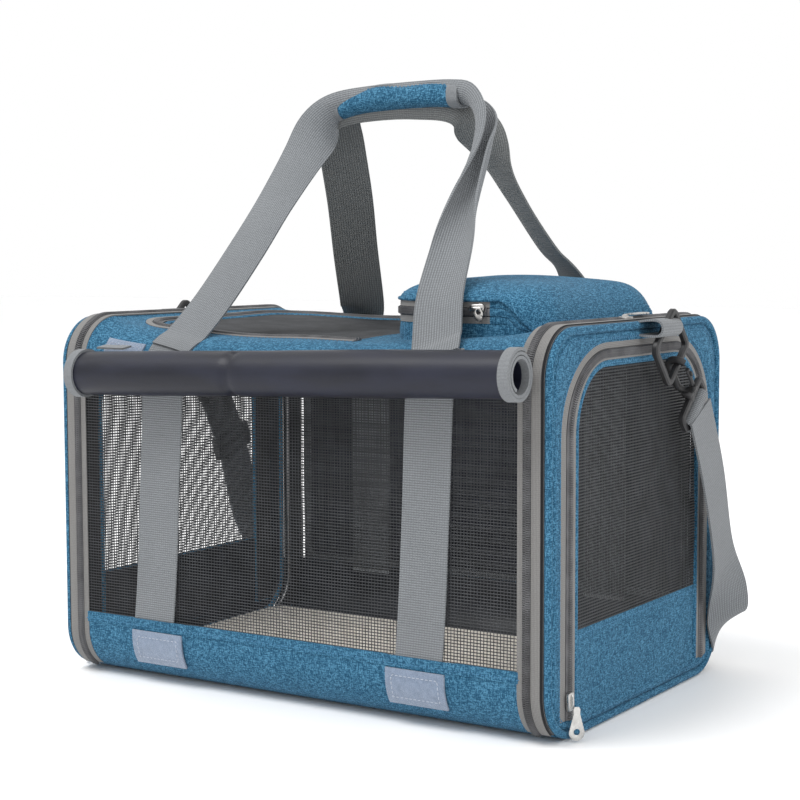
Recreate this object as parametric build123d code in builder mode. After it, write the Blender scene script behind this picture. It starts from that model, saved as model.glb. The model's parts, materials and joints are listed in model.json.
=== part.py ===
from build123d import *
from math import acos, atan2, cos, degrees, hypot, radians, sin
import os

# Soft-sided pet carrier. Millimetres, +Z up, origin at the centre of the base.
# X runs along the carrier, and the rolled-up cover is on the -Y side.

os.makedirs("parts", exist_ok=True)

# ---- body ----
LENGTH = 432
WIDTH = 284
HEIGHT = 280
CORNER = 36
SKIN = 2.4
MESH = 1.2
GAP = 0.4
BAND_TOP = 50
WINDOW_TOP = 236
PIPING_DEPTH = 6
PIPING_WIDTH = 7
END_ZIP = 17
HALF_LENGTH = LENGTH / 2
HALF_WIDTH = WIDTH / 2
FLAT_Y = HALF_WIDTH - CORNER
ZIP_OUTER_X = HALF_LENGTH - PIPING_WIDTH
ZIP_INNER_X = ZIP_OUTER_X - END_ZIP
REACH = 40
SIDES = (("front", -1), ("back", 1))

# ---- end doors ----
END_PANEL_X = 212
DOOR_FOOT = 14
DOOR_HALF = 104
DOOR_TOP = 255
DOOR_SHOULDER = 48
DOOR_ZIP = 19
DOOR_BINDING = 6.6
DOOR_PANEL_TOP = 72
DOOR_THICK = 2
DOOR_CLEARANCE = 2.2

# ---- floor ----
BOARD_HALF = 199
BOARD_THICK = 3
BOARD_CORNER = 12
PAD_THICK = 7.3
PAD_CORNER = 18
PAD_OVERHANG = 8
PAD_EDGE = 2
LAY_GAP = 0.2
WIRE_RADIUS = 1.6
WIRE_X = 203
WIRE_CLEARANCE = 0.3

# ---- top door and pocket ----
TOP_DOOR_LEFT = -170
TOP_DOOR_RIGHT = 34
TOP_DOOR_HALF = 92
TOP_DOOR_CLEARANCE = 1.6
TOP_ZIP = 12
TOP_CORNER = 28
TOP_PANEL_CORNER = 0.5
POCKET_LEFT = 50
POCKET_RIGHT = 188
POCKET_HALF = 96
POCKET_CORNER = 22
POCKET_LEFT_CORNER = 44
POCKET_WALL_TOP = 284
POCKET_ZIP_TOP = 298
POCKET_TOP = 313
POCKET_DOME = 12
POCKET_SKIN = 2
POCKET_TAPER = 40

# ---- webbing and handles ----
WEBBING = 38
WEBBING_THICK = 1.8
WEBBING_X = 115
WEBBING_FOOT = 50
RIDGE = 452
STRAP_LIFT = 0.9
HANDLE_TOP_OUTER = 82
HANDLE_TOP_INNER = 58
GRIP_BAR = 24
GRIP_HALF = 54
GRIP_WALL = 3.5
GRIP_BINDING = 5
GRIP_EDGE = 9
HANDLE_CORNER = 26
HANDLE_INNER_CORNER = 3
RIDGE_GAP = 0.6
WEBBING_TUCK = 4
WRAP_GAP = 0.5

# ---- covers ----
ROLL_RADIUS = 17
ROLL_Y = -163
ROLL_Z = 246
ROLL_X = 14
ROLL_HALF = 184
ROLL_BINDING = 7
BINDING_STEP = 0.8
TAB_X = 155
TAB_SIZE = (30, 7)
TAB_Z = 256
TAB_GAP = 1.7
PATCH = 1.2
TOP_PATCH_HALF = 18
TOP_PATCH_Z = (250, 269)
LOW_PATCH_X = 121
LOW_PATCH_HALF = 24
LOW_PATCH_Z = (12, 37)
COVER_Y = 144.4
COVER_THICK = 1.5
COVER_HALF = 188
COVER_Z = (46, 258)
COVER_HEM = 9
COVER_CORNER = 12
COVER_FIELD_CORNER = 5

# ---- shoulder strap ----
TAB_PIVOT = Vector(227, 14, 268)
CHAIN_LEAN = 42
BAR = 4
TOUCH_GAP = 0.6
RING_CORNERS = (5, 2)
HOOK_CORNERS = (8, 4)
EYE_CORNER = 3
RING = (46, 32)
RING_MID = -14
RING_TAB_HALF = 17
RING_TAB_OUTER = 4.2
RING_TAB_INNER = 2.9
HOOK_OUTER = (17, 36)
HOOK_MID = -39
HOOK_HALF = 2.5
GATE_TOP = -32
GATE_FOOT = -50
GATE_THICK = 3.2
SHANK = (7, 10)
SHANK_MID = -61
EYE_TOP = -64
EYE_LOW = -76
EYE_WIDTH = 46
STRAP_THICK = 2
STRAP_BACK_Y = 185
STRAP_LOW = 3
STRAP_BEND = 22
STRAP_KNEE = (80, 194)
STRAP_FOOT_Y = 137
STRAP_TURNS = (60, 28)
STRAP_START = (0.7, -0.8)
QUARTER = 50
LOOP_WALL = 2.8
LOOP_HALF = 18

# ---- adjuster, sliders and pull tabs ----
ADJUSTER = (7.4, 47, 24)
ADJUSTER_DROP = 35
ADJUSTER_CORNER = 2
ADJUSTER_ROOM = 1.2
SLIDER = (9, 13, 2.8)
SLIDER_GAP = 0.3
PULL_WIDTH = 8
PULL_LENGTH = 32
PULL_THICK = 1.4
PULL_CORNER = 3
PULL_HOLE = 2.2
HOLE_INSET = 6
DOOR_SLIDER_Z = 27
DOOR_PULL_Z = 13
DOOR_PULL = (11, 24)
DOOR_PULL_CORNER = 5
END_PULL_Y = 20
POCKET_SLIDER_X = 134
POCKET_SLIDER = (12, 2.6, 6)
POCKET_PULL = (7, 10, 1.2)


def save(part, name):
    """Labels a finished piece and writes it to its own file."""
    part.label = name
    export_step(part, f"parts/{name}.step")
    return part


def skin(x0, x1, y, z, inset=0, thick=SKIN):
    """A length of the wrapped shell from x0 to x1, inside the given y and z."""
    with BuildPart() as piece:
        with BuildSketch(Plane.YZ.offset(x0)):
            with Locations((0, HEIGHT / 2)):
                outer = CORNER - inset
                RectangleRounded(WIDTH - 2 * inset, HEIGHT - 2 * inset, outer)
                inner = inset + thick
                RectangleRounded(WIDTH - 2 * inner, HEIGHT - 2 * inner, CORNER - inner, mode=Mode.SUBTRACT)
        extrude(amount=x1 - x0)
        with Locations(((x0 + x1) / 2, sum(y) / 2, sum(z) / 2)):
            Box(x1 - x0, y[1] - y[0], z[1] - z[0], mode=Mode.INTERSECT)
    return piece.part


def rounded(width, height, radius, centre=(0, 0)):
    """A rounded rectangle as a sketch of its own."""
    with BuildSketch() as outline:
        with Locations(centre):
            RectangleRounded(width, height, radius)
    return outline.sketch


def end_outline(inset):
    return rounded(WIDTH - 2 * inset, HEIGHT - 2 * inset, CORNER - inset, (0, HEIGHT / 2))


def arch(half, foot, top, shoulder):
    """A door outline: square at the foot, rounded at the shoulders."""
    with BuildSketch() as outline:
        with Locations((0, (foot + top) / 2)):
            Rectangle(2 * half, top - foot)
        fillet(outline.vertices().group_by(Axis.Y)[-1], shoulder)
    return outline.sketch


def plate(plane, thickness, outer, *holes):
    """A flat piece: an outline with holes, extruded along the plane's normal."""
    with BuildPart() as piece:
        with BuildSketch(plane):
            add(outer)
            for hole in holes:
                add(hole, mode=Mode.SUBTRACT)
        extrude(amount=thickness)
    return piece.part


def both_ends(part, name):
    """Writes the right-hand piece and its mirror image on the left."""
    save(part, f"right_{name}")
    save(mirror(part, about=Plane.YZ), f"left_{name}")


# ---- shell: bottom, lower bands, mesh windows, upper bands, top ----
save(skin(-ZIP_OUTER_X, ZIP_OUTER_X, (-FLAT_Y, FLAT_Y), (-1, REACH)), "bottom_panel")

for side, sign in SIDES:
    outside = sign * (HALF_WIDTH + REACH)
    inside = sign * FLAT_Y
    across = (min(outside, inside), max(outside, inside))
    save(skin(-ZIP_INNER_X, ZIP_INNER_X, across, (-1, BAND_TOP)), f"{side}_lower_band")
    window = skin(-ZIP_INNER_X, ZIP_INNER_X, across, (BAND_TOP, WINDOW_TOP), (SKIN - MESH) / 2, MESH)
    save(window, f"{side}_mesh_window")
    save(skin(-ZIP_INNER_X, ZIP_INNER_X, across, (WINDOW_TOP, HEIGHT + 1)), f"{side}_upper_band")

door_length = TOP_DOOR_RIGHT - TOP_DOOR_LEFT
door_centre = ((TOP_DOOR_RIGHT + TOP_DOOR_LEFT) / 2, 0)
zip_length = door_length + TOP_ZIP
zip_centre = (door_centre[0] - TOP_ZIP / 2, 0)
top_plane = Plane.XY.offset(HEIGHT - SKIN)


def left_rounded(length, half, radius, centre):
    """A rectangle whose two left-hand corners are rounded."""
    with BuildSketch() as outline:
        with Locations(centre):
            Rectangle(length, 2 * half)
        fillet(outline.vertices().group_by(Axis.X)[0], radius)
    return outline.sketch


top_outer = rounded(2 * ZIP_INNER_X, 2 * FLAT_Y, TOP_PANEL_CORNER)
top_opening = left_rounded(zip_length, TOP_DOOR_HALF + TOP_ZIP, TOP_CORNER + TOP_ZIP, zip_centre)
top_door_hole = left_rounded(door_length, TOP_DOOR_HALF, TOP_CORNER, door_centre)
save(plate(top_plane, SKIN, top_outer, top_opening), "top_panel")
save(plate(top_plane, SKIN, top_opening, top_door_hole), "top_door_zip")

# ---- ends: panel, piping, zips ----
end_plane = Plane.YZ.offset(END_PANEL_X)
zip_arch = arch(DOOR_HALF + DOOR_ZIP, DOOR_FOOT, DOOR_TOP + DOOR_ZIP - 1, DOOR_SHOULDER + DOOR_ZIP)
door_arch = arch(DOOR_HALF, DOOR_FOOT, DOOR_TOP, DOOR_SHOULDER)
both_ends(plate(end_plane, SKIN, end_outline(PIPING_DEPTH), zip_arch), "end_panel")
both_ends(plate(end_plane, SKIN, zip_arch, door_arch), "door_zip")
piping_plane = Plane.YZ.offset(ZIP_OUTER_X)
both_ends(plate(piping_plane, PIPING_WIDTH, end_outline(0), end_outline(PIPING_DEPTH)), "end_piping")

with BuildPart() as end_zip:
    with BuildSketch(Plane.YZ.offset(ZIP_INNER_X)):
        add(end_outline(0))
        add(end_outline(SKIN), mode=Mode.SUBTRACT)
        Rectangle(2 * FLAT_Y, REACH, mode=Mode.SUBTRACT)
    extrude(amount=END_ZIP)
both_ends(end_zip.part, "end_zip")

wire_inset = SKIN + WIRE_RADIUS + WIRE_CLEARANCE
with BuildPart() as wire_frame:
    ring_path = end_outline(wire_inset).face().outer_wire().moved(Location(Plane.YZ.offset(WIRE_X)))
    with BuildSketch(Plane(origin=ring_path @ 0, z_dir=ring_path % 0)):
        Circle(WIRE_RADIUS)
    sweep(path=ring_path)
with BuildPart() as wire_frames:
    add(wire_frame.part)
    mirror(wire_frame.part, about=Plane.YZ)
save(wire_frames.part, "wire_frames")

# ---- floor ----
board_bottom = SKIN + LAY_GAP
pad_bottom = board_bottom + BOARD_THICK
with BuildPart() as base_board:
    with BuildSketch(Plane.XY.offset(board_bottom)):
        RectangleRounded(2 * BOARD_HALF, 2 * FLAT_Y, BOARD_CORNER)
    extrude(amount=BOARD_THICK)
save(base_board.part, "base_board")

with BuildPart() as floor_pad:
    with BuildSketch(Plane.XY.offset(pad_bottom)):
        RectangleRounded(2 * BOARD_HALF, 2 * (FLAT_Y + PAD_OVERHANG), PAD_CORNER)
    extrude(amount=PAD_THICK)
    fillet(floor_pad.edges().group_by(Axis.Z)[-1], PAD_EDGE)
save(floor_pad.part, "floor_pad")

# ---- end doors: they fold about their foot ----
door_foot = DOOR_FOOT + DOOR_CLEARANCE
leaf = arch(DOOR_HALF - GAP, door_foot, DOOR_TOP - GAP, DOOR_SHOULDER - GAP)
inner_half = DOOR_HALF - GAP - DOOR_BINDING
inner_top = DOOR_TOP - GAP - DOOR_BINDING
inner_leaf = arch(inner_half, door_foot, inner_top, DOOR_SHOULDER - GAP - DOOR_BINDING)
with BuildSketch() as lower_leaf:
    with Locations((0, (door_foot + DOOR_PANEL_TOP) / 2)):
        Rectangle(2 * inner_half, DOOR_PANEL_TOP - door_foot)
both_ends(plate(end_plane, DOOR_THICK, leaf, inner_leaf), "door_binding")
both_ends(plate(end_plane, DOOR_THICK, lower_leaf.sketch), "door_panel")
mesh_plane = Plane.YZ.offset(END_PANEL_X + (DOOR_THICK - MESH) / 2)
both_ends(plate(mesh_plane, MESH, inner_leaf, lower_leaf.sketch), "door_mesh")

# ---- top door: it folds about its seam beside the pocket ----
lid_length = door_length - GAP - TOP_DOOR_CLEARANCE
lid_centre = (TOP_DOOR_LEFT + GAP + lid_length / 2, 0)
lid = left_rounded(lid_length, TOP_DOOR_HALF - GAP, TOP_CORNER - GAP, lid_centre)
lid_inner_length = lid_length - 2 * DOOR_BINDING
lid_inner_half = TOP_DOOR_HALF - GAP - DOOR_BINDING
lid_inner = left_rounded(lid_inner_length, lid_inner_half, TOP_CORNER - GAP - DOOR_BINDING, lid_centre)
lid_plane = Plane.XY.offset(HEIGHT - DOOR_THICK)
save(plate(lid_plane, DOOR_THICK, lid, lid_inner), "top_door_binding")
save(plate(lid_plane.offset((DOOR_THICK - MESH) / 2), MESH, lid_inner), "top_door_mesh")

# ---- pocket ----
pocket_centre = ((POCKET_LEFT + POCKET_RIGHT) / 2, 0)
pocket_length = POCKET_RIGHT - POCKET_LEFT


def pocket_outline(inset):
    with BuildSketch() as outline:
        with Locations(pocket_centre):
            Rectangle(pocket_length - 2 * inset, 2 * (POCKET_HALF - inset))
        fillet(outline.vertices().group_by(Axis.X)[0], POCKET_LEFT_CORNER - inset)
        fillet(outline.vertices().group_by(Axis.X)[-1], POCKET_CORNER - inset)
    return outline.sketch


pocket_hollow = pocket_outline(POCKET_SKIN)
wall_height = POCKET_WALL_TOP - HEIGHT
save(plate(Plane.XY.offset(HEIGHT), wall_height, pocket_outline(0), pocket_hollow), "pocket_wall")
zip_height = POCKET_ZIP_TOP - GAP - POCKET_WALL_TOP
save(plate(Plane.XY.offset(POCKET_WALL_TOP), zip_height, pocket_outline(0), pocket_hollow), "pocket_zip")
with BuildPart() as pocket_lid:
    with BuildSketch(Plane.XY.offset(POCKET_ZIP_TOP)):
        add(pocket_outline(0))
    extrude(amount=POCKET_TOP - POCKET_ZIP_TOP)
    fillet(pocket_lid.edges().group_by(Axis.Z)[-1], POCKET_DOME)
    with BuildSketch(Plane.XY.offset(POCKET_ZIP_TOP)):
        add(pocket_hollow)
    extrude(amount=POCKET_TOP - POCKET_ZIP_TOP - POCKET_DOME, mode=Mode.SUBTRACT)
    with BuildSketch(Plane.XY.offset(POCKET_TOP - POCKET_DOME)):
        add(pocket_hollow)
    extrude(amount=POCKET_DOME - POCKET_SKIN, taper=POCKET_TAPER, mode=Mode.SUBTRACT)
save(pocket_lid.part, "pocket_lid")

# ---- where each handle leaves the shell: the tangent from its top corner to the ridge ----
corner_z = HEIGHT - CORNER
strap_radius = CORNER + STRAP_LIFT
ridge_distance = hypot(FLAT_Y, RIDGE - corner_z)
tangent = atan2(RIDGE - corner_z, FLAT_Y) + acos(strap_radius / ridge_distance)
pivot_y = FLAT_Y - strap_radius * cos(tangent)
pivot_z = corner_z + strap_radius * sin(tangent)
lean = atan2(RIDGE - pivot_z, pivot_y)
slope_length = hypot(pivot_y, RIDGE - pivot_z)
print("handle pivot y, z and lean:", round(pivot_y, 2), round(pivot_z, 2), round(degrees(lean), 2))

# ---- sewn webbing, up each face and a little way round its top corner ----
for side, sign in SIDES:
    outside = sign * (HALF_WIDTH + REACH)
    inside = sign * FLAT_Y
    across = (min(outside, inside), max(outside, inside))
    up = (WEBBING_FOOT, pivot_z - WEBBING_TUCK)
    with BuildPart() as webbing:
        for x in (-WEBBING_X, WEBBING_X):
            add(skin(x - WEBBING / 2, x + WEBBING / 2, across, up, -WEBBING_THICK, WEBBING_THICK))
    save(webbing.part, f"{side}_webbing")

# ---- handles: flat webbing loops that lean on each other at the ridge ----
top_v = slope_length - RIDGE_GAP
bar_v = top_v - GRIP_BAR
foot_outer = WEBBING_X + WEBBING / 2
foot_inner = WEBBING_X - WEBBING / 2
with BuildSketch() as handle_outline:
    with BuildLine():
        FilletPolyline(
            (-foot_outer, 0),
            (-HANDLE_TOP_OUTER, top_v),
            (HANDLE_TOP_OUTER, top_v),
            (foot_outer, 0),
            radius=[0, HANDLE_CORNER, HANDLE_CORNER, 0],
            close=True,
        )
    make_face()
    with BuildLine():
        FilletPolyline(
            (-foot_inner, 0),
            (-HANDLE_TOP_INNER, bar_v),
            (HANDLE_TOP_INNER, bar_v),
            (foot_inner, 0),
            radius=[0, HANDLE_INNER_CORNER, HANDLE_INNER_CORNER, 0],
            close=True,
        )
    make_face(mode=Mode.SUBTRACT)
front_plane = Plane(origin=(0, -pivot_y, pivot_z), x_dir=(1, 0, 0), z_dir=(0, -sin(lean), cos(lean)))
front_handle = plate(front_plane, WEBBING_THICK, handle_outline.sketch)
save(front_handle, "front_handle")
save(mirror(front_handle, about=Plane.XZ), "back_handle")

# ---- grip wrap on the front handle, open towards the back handle ----
bar_drop = (GRIP_BAR + RIDGE_GAP) * sin(lean)
bar_depth = (GRIP_BAR + RIDGE_GAP) * cos(lean) + WEBBING_THICK * sin(lean)
hollow_low = RIDGE - bar_drop - WRAP_GAP
hollow_high = RIDGE + WEBBING_THICK + WRAP_GAP
hollow_front = -bar_depth - WRAP_GAP
wrap_low = hollow_low - GRIP_WALL
wrap_high = hollow_high + GRIP_WALL
wrap_front = hollow_front - GRIP_WALL


def wrap_section(length, start):
    with BuildPart() as piece:
        with BuildSketch(Plane.YZ.offset(start)) as section:
            with Locations((wrap_front / 2, (wrap_low + wrap_high) / 2)):
                Rectangle(-wrap_front, wrap_high - wrap_low)
            fillet(section.vertices().group_by(Axis.X)[0], GRIP_EDGE)
            with Locations((0, (hollow_low + hollow_high) / 2)):
                Rectangle(-2 * hollow_front, hollow_high - hollow_low, mode=Mode.SUBTRACT)
        extrude(amount=length)
    return piece.part


save(wrap_section(2 * (GRIP_HALF - GRIP_BINDING), GRIP_BINDING - GRIP_HALF), "grip_wrap")
with BuildPart() as grip_binding:
    add(wrap_section(GRIP_BINDING, -GRIP_HALF))
    add(wrap_section(GRIP_BINDING, GRIP_HALF - GRIP_BINDING))
save(grip_binding.part, "grip_binding")

# ---- hook-and-loop patches: two low on the front band, two at its top corners ----
front_side = (-HALF_WIDTH - REACH, -FLAT_Y)
with BuildPart() as patches:
    for x in (-TAB_X, TAB_X):
        add(skin(x - TOP_PATCH_HALF, x + TOP_PATCH_HALF, front_side, TOP_PATCH_Z, -PATCH, PATCH))
    for x in (-LOW_PATCH_X, LOW_PATCH_X):
        add(skin(x - LOW_PATCH_HALF, x + LOW_PATCH_HALF, front_side, LOW_PATCH_Z, -PATCH, PATCH))
save(patches.part, "hook_loop_patches")

# ---- rolled-up front cover, held at its top corners by two tabs ----
roll_plane = Plane.YZ.offset(ROLL_X - ROLL_HALF)
with BuildPart() as roll:
    with BuildSketch(roll_plane):
        with Locations((ROLL_Y, ROLL_Z)):
            Circle(ROLL_RADIUS)
    extrude(amount=2 * ROLL_HALF)
save(roll.part, "front_cover_roll")
with BuildPart() as roll_binding:
    for start in (-ROLL_HALF - ROLL_BINDING, ROLL_HALF):
        with BuildSketch(Plane.YZ.offset(ROLL_X + start)):
            with Locations((ROLL_Y, ROLL_Z)):
                Circle(ROLL_RADIUS + BINDING_STEP)
        extrude(amount=ROLL_BINDING)
save(roll_binding.part, "front_cover_binding")
with BuildPart() as roll_tabs:
    tab_back = -HALF_WIDTH - TAB_GAP
    for x in (-TAB_X, TAB_X):
        with Locations((x, (ROLL_Y + tab_back) / 2, TAB_Z)):
            Box(TAB_SIZE[0], tab_back - ROLL_Y, TAB_SIZE[1])
    with Locations(Location((0, ROLL_Y, ROLL_Z), (0, 90, 0))):
        Cylinder(ROLL_RADIUS, 2 * LENGTH, mode=Mode.SUBTRACT)
save(roll_tabs.part, "front_cover_tabs")

# ---- flat back cover, hung from its top edge ----
cover_plane = Plane.XZ.offset(-COVER_Y - COVER_THICK)
cover_height = COVER_Z[1] - COVER_Z[0]
cover_centre = (0, sum(COVER_Z) / 2)
field_half = COVER_HALF - COVER_HEM
field_height = cover_height - 2 * COVER_HEM
cover_outline = rounded(2 * COVER_HALF, cover_height, COVER_CORNER, cover_centre)
cover_field = rounded(2 * field_half, field_height, COVER_FIELD_CORNER, cover_centre)
save(plate(cover_plane, COVER_THICK, cover_field), "back_cover")
save(plate(cover_plane, COVER_THICK, cover_outline, cover_field), "back_cover_binding")

# ---- shoulder strap chain: tab, ring, snap hook and gate, in a plane along the end ----
chain_x = Vector(0, cos(radians(CHAIN_LEAN)), sin(radians(CHAIN_LEAN)))
chain = Plane(origin=TAB_PIVOT, x_dir=chain_x, z_dir=(1, 0, 0))
flat_plane = chain.offset(-BAR / 2)
across_plane = Plane(origin=TAB_PIVOT, x_dir=(1, 0, 0), z_dir=-chain_x)

ring_outer = rounded(*RING, RING_CORNERS[0], (0, RING_MID))
ring_inner = rounded(RING[0] - 2 * BAR, RING[1] - 2 * BAR, RING_CORNERS[1], (0, RING_MID))
both_ends(plate(flat_plane, BAR, ring_outer, ring_inner), "ring")

tab_reach = TAB_PIVOT.X - HALF_LENGTH - TOUCH_GAP
with BuildSketch() as tab_profile:
    Circle(RING_TAB_OUTER)
    with Locations((-tab_reach / 2, 0)):
        Rectangle(tab_reach, 2 * RING_TAB_OUTER)
    Circle(RING_TAB_INNER, mode=Mode.SUBTRACT)
    with Locations((-tab_reach / 2, 0)):
        Rectangle(tab_reach + 1, 2 * RING_TAB_INNER, mode=Mode.SUBTRACT)
tab = plate(across_plane.offset(-RING_TAB_HALF), 2 * RING_TAB_HALF, tab_profile.sketch)
with BuildPart() as tabs:
    add(tab)
    mirror(tab, about=Plane.YZ)
save(tabs.part, "ring_tabs")

hook_outline = rounded(*HOOK_OUTER, HOOK_CORNERS[0], (0, HOOK_MID))
hook_room = [size - 2 * BAR for size in HOOK_OUTER]
hook_inside = rounded(*hook_room, HOOK_CORNERS[1], (0, HOOK_MID))
gate_x = (HOOK_OUTER[0] - BAR) / 2
with BuildSketch() as gate_window:
    with Locations((gate_x + 1, (GATE_TOP + GATE_FOOT) / 2)):
        Rectangle(BAR + 2, GATE_TOP - GATE_FOOT)
with BuildPart() as hook:
    with BuildSketch(across_plane.offset(-HOOK_HALF)):
        add(hook_outline)
        add(hook_inside, mode=Mode.SUBTRACT)
        add(gate_window.sketch, mode=Mode.SUBTRACT)
    extrude(amount=2 * HOOK_HALF)
    with BuildSketch(flat_plane):
        with Locations((0, SHANK_MID)):
            Rectangle(*SHANK)
        with Locations((0, (EYE_LOW + EYE_TOP) / 2)):
            RectangleRounded(EYE_WIDTH, EYE_TOP - EYE_LOW + BAR, EYE_CORNER)
            Rectangle(EYE_WIDTH - 2 * BAR, EYE_TOP - EYE_LOW - BAR, mode=Mode.SUBTRACT)
    extrude(amount=BAR)
both_ends(hook.part, "snap_hook")

gate_low = GATE_FOOT + 1
gate_high = GATE_TOP - GAP
with BuildPart() as gate:
    with BuildSketch(across_plane.offset(-HOOK_HALF + GAP)):
        with Locations((gate_x, (gate_low + gate_high) / 2)):
            Rectangle(GATE_THICK, gate_high - gate_low)
    extrude(amount=2 * (HOOK_HALF - GAP))
both_ends(gate.part, "hook_gate")

# ---- shoulder strap: down each end, round behind the carrier on its edge ----
eye = chain.from_local_coords(Vector(0, EYE_LOW, 0))
loop_radius = BAR / 2 + LOOP_WALL
strap_x = TAB_PIVOT.X + loop_radius - STRAP_THICK
strap_mid = STRAP_LOW + WEBBING / 2
strap_start = (eye.Y + STRAP_START[0], eye.Z + STRAP_START[1])
strap_foot = (STRAP_FOOT_Y, strap_mid)
bend_y = STRAP_BACK_Y - STRAP_BEND
bend_x = strap_x + STRAP_THICK - STRAP_BEND
with BuildPart() as strap_end:
    with BuildSketch(Plane.YZ.offset(strap_x)):
        with BuildLine():
            FilletPolyline(strap_start, STRAP_KNEE, strap_foot, (bend_y, strap_mid), radius=STRAP_TURNS)
        trace(line_width=WEBBING)
    extrude(amount=STRAP_THICK)
    with BuildSketch(across_plane.offset(-LOOP_HALF)):
        with Locations((0, EYE_LOW)):
            Circle(loop_radius)
            Circle(loop_radius - STRAP_THICK + 0.1, mode=Mode.SUBTRACT)
    extrude(amount=2 * LOOP_HALF)
    with BuildSketch(Plane.XY.offset(STRAP_LOW)):
        with Locations((bend_x, bend_y)):
            Circle(STRAP_BEND)
            Circle(STRAP_BEND - STRAP_THICK, mode=Mode.SUBTRACT)
        with Locations((bend_x - QUARTER, bend_y), (bend_x, bend_y - QUARTER)):
            Rectangle(2 * QUARTER, 2 * QUARTER, mode=Mode.SUBTRACT)
    extrude(amount=WEBBING)
with BuildPart() as shoulder_strap:
    add(strap_end.part)
    mirror(strap_end.part, about=Plane.YZ)
    with Locations((0, STRAP_BACK_Y - STRAP_THICK / 2, strap_mid)):
        Box(2 * bend_x, STRAP_THICK, WEBBING)
save(shoulder_strap.part, "shoulder_strap")

# ---- adjuster on the straight run of the left-hand strap ----
run_vector = Vector(0, strap_foot[0] - STRAP_KNEE[0], strap_foot[1] - STRAP_KNEE[1]).normalized()
adjuster_at = Vector(-strap_x - STRAP_THICK / 2, *STRAP_KNEE) + run_vector * ADJUSTER_DROP
adjuster_plane = Plane(origin=adjuster_at, x_dir=(1, 0, 0), z_dir=run_vector)
with BuildPart() as adjuster:
    with BuildSketch(adjuster_plane.offset(-ADJUSTER[2] / 2)):
        RectangleRounded(ADJUSTER[0], ADJUSTER[1], ADJUSTER_CORNER)
        Rectangle(STRAP_THICK + ADJUSTER_ROOM, WEBBING + ADJUSTER_ROOM, mode=Mode.SUBTRACT)
    extrude(amount=ADJUSTER[2])
save(adjuster.part, "strap_adjuster")
print("adjuster slides along", [round(c, 4) for c in run_vector])

# ---- door zip sliders and pull tabs ----
slider_y = -(DOOR_HALF + DOOR_ZIP / 2)
slider_face = END_PANEL_X + SKIN + SLIDER_GAP
pull_lift = SLIDER[2] + 2 * SLIDER_GAP
with BuildPart() as door_slider:
    with Locations((slider_face + SLIDER[2] / 2, slider_y, DOOR_SLIDER_Z)):
        Box(SLIDER[2], SLIDER[0], SLIDER[1])
both_ends(door_slider.part, "door_slider")
with BuildPart() as door_pull:
    with BuildSketch(Plane.YZ.offset(slider_face + pull_lift)):
        with Locations((slider_y, DOOR_PULL_Z)):
            RectangleRounded(*DOOR_PULL, DOOR_PULL_CORNER)
        with Locations((slider_y, DOOR_PULL_Z - DOOR_PULL[1] / 2 + HOLE_INSET)):
            Circle(PULL_HOLE, mode=Mode.SUBTRACT)
    extrude(amount=PULL_THICK)
both_ends(door_pull.part, "door_pull")

# ---- slider and pull on the right end zip, over the top ----
end_slider_x = (ZIP_INNER_X + ZIP_OUTER_X) / 2
top_face = HEIGHT + SLIDER_GAP
with BuildPart() as end_zip_slider:
    with Locations((end_slider_x, 0, top_face + SLIDER[2] / 2)):
        Box(*SLIDER)
save(end_zip_slider.part, "end_zip_slider")
with BuildPart() as end_zip_pull:
    with BuildSketch(Plane.XY.offset(top_face + pull_lift)):
        with Locations((end_slider_x, END_PULL_Y)):
            RectangleRounded(PULL_WIDTH, PULL_LENGTH, PULL_CORNER)
        with Locations((end_slider_x, END_PULL_Y + PULL_LENGTH / 2 - HOLE_INSET)):
            Circle(PULL_HOLE, mode=Mode.SUBTRACT)
    extrude(amount=PULL_THICK)
save(end_zip_pull.part, "end_zip_pull")

# ---- slider and pull on the front run of the pocket zip ----
pocket_slider_z = (POCKET_WALL_TOP + POCKET_ZIP_TOP) / 2
pocket_face = POCKET_HALF + SLIDER_GAP
with BuildPart() as pocket_slider:
    with Locations((POCKET_SLIDER_X, -pocket_face - POCKET_SLIDER[1] / 2, pocket_slider_z)):
        Box(*POCKET_SLIDER)
save(pocket_slider.part, "pocket_slider")
with BuildPart() as pocket_pull:
    with BuildSketch(Plane.XZ.offset(pocket_face + POCKET_SLIDER[1] + 2 * SLIDER_GAP)):
        with Locations((POCKET_SLIDER_X, pocket_slider_z - (POCKET_PULL[1] - 2) / 2)):
            RectangleRounded(POCKET_PULL[0], POCKET_PULL[1], 2)
    extrude(amount=POCKET_PULL[2])
save(pocket_pull.part, "pocket_pull")
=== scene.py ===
import json
import math

import bpy
import numpy as np
from mathutils import Matrix, Vector


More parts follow.
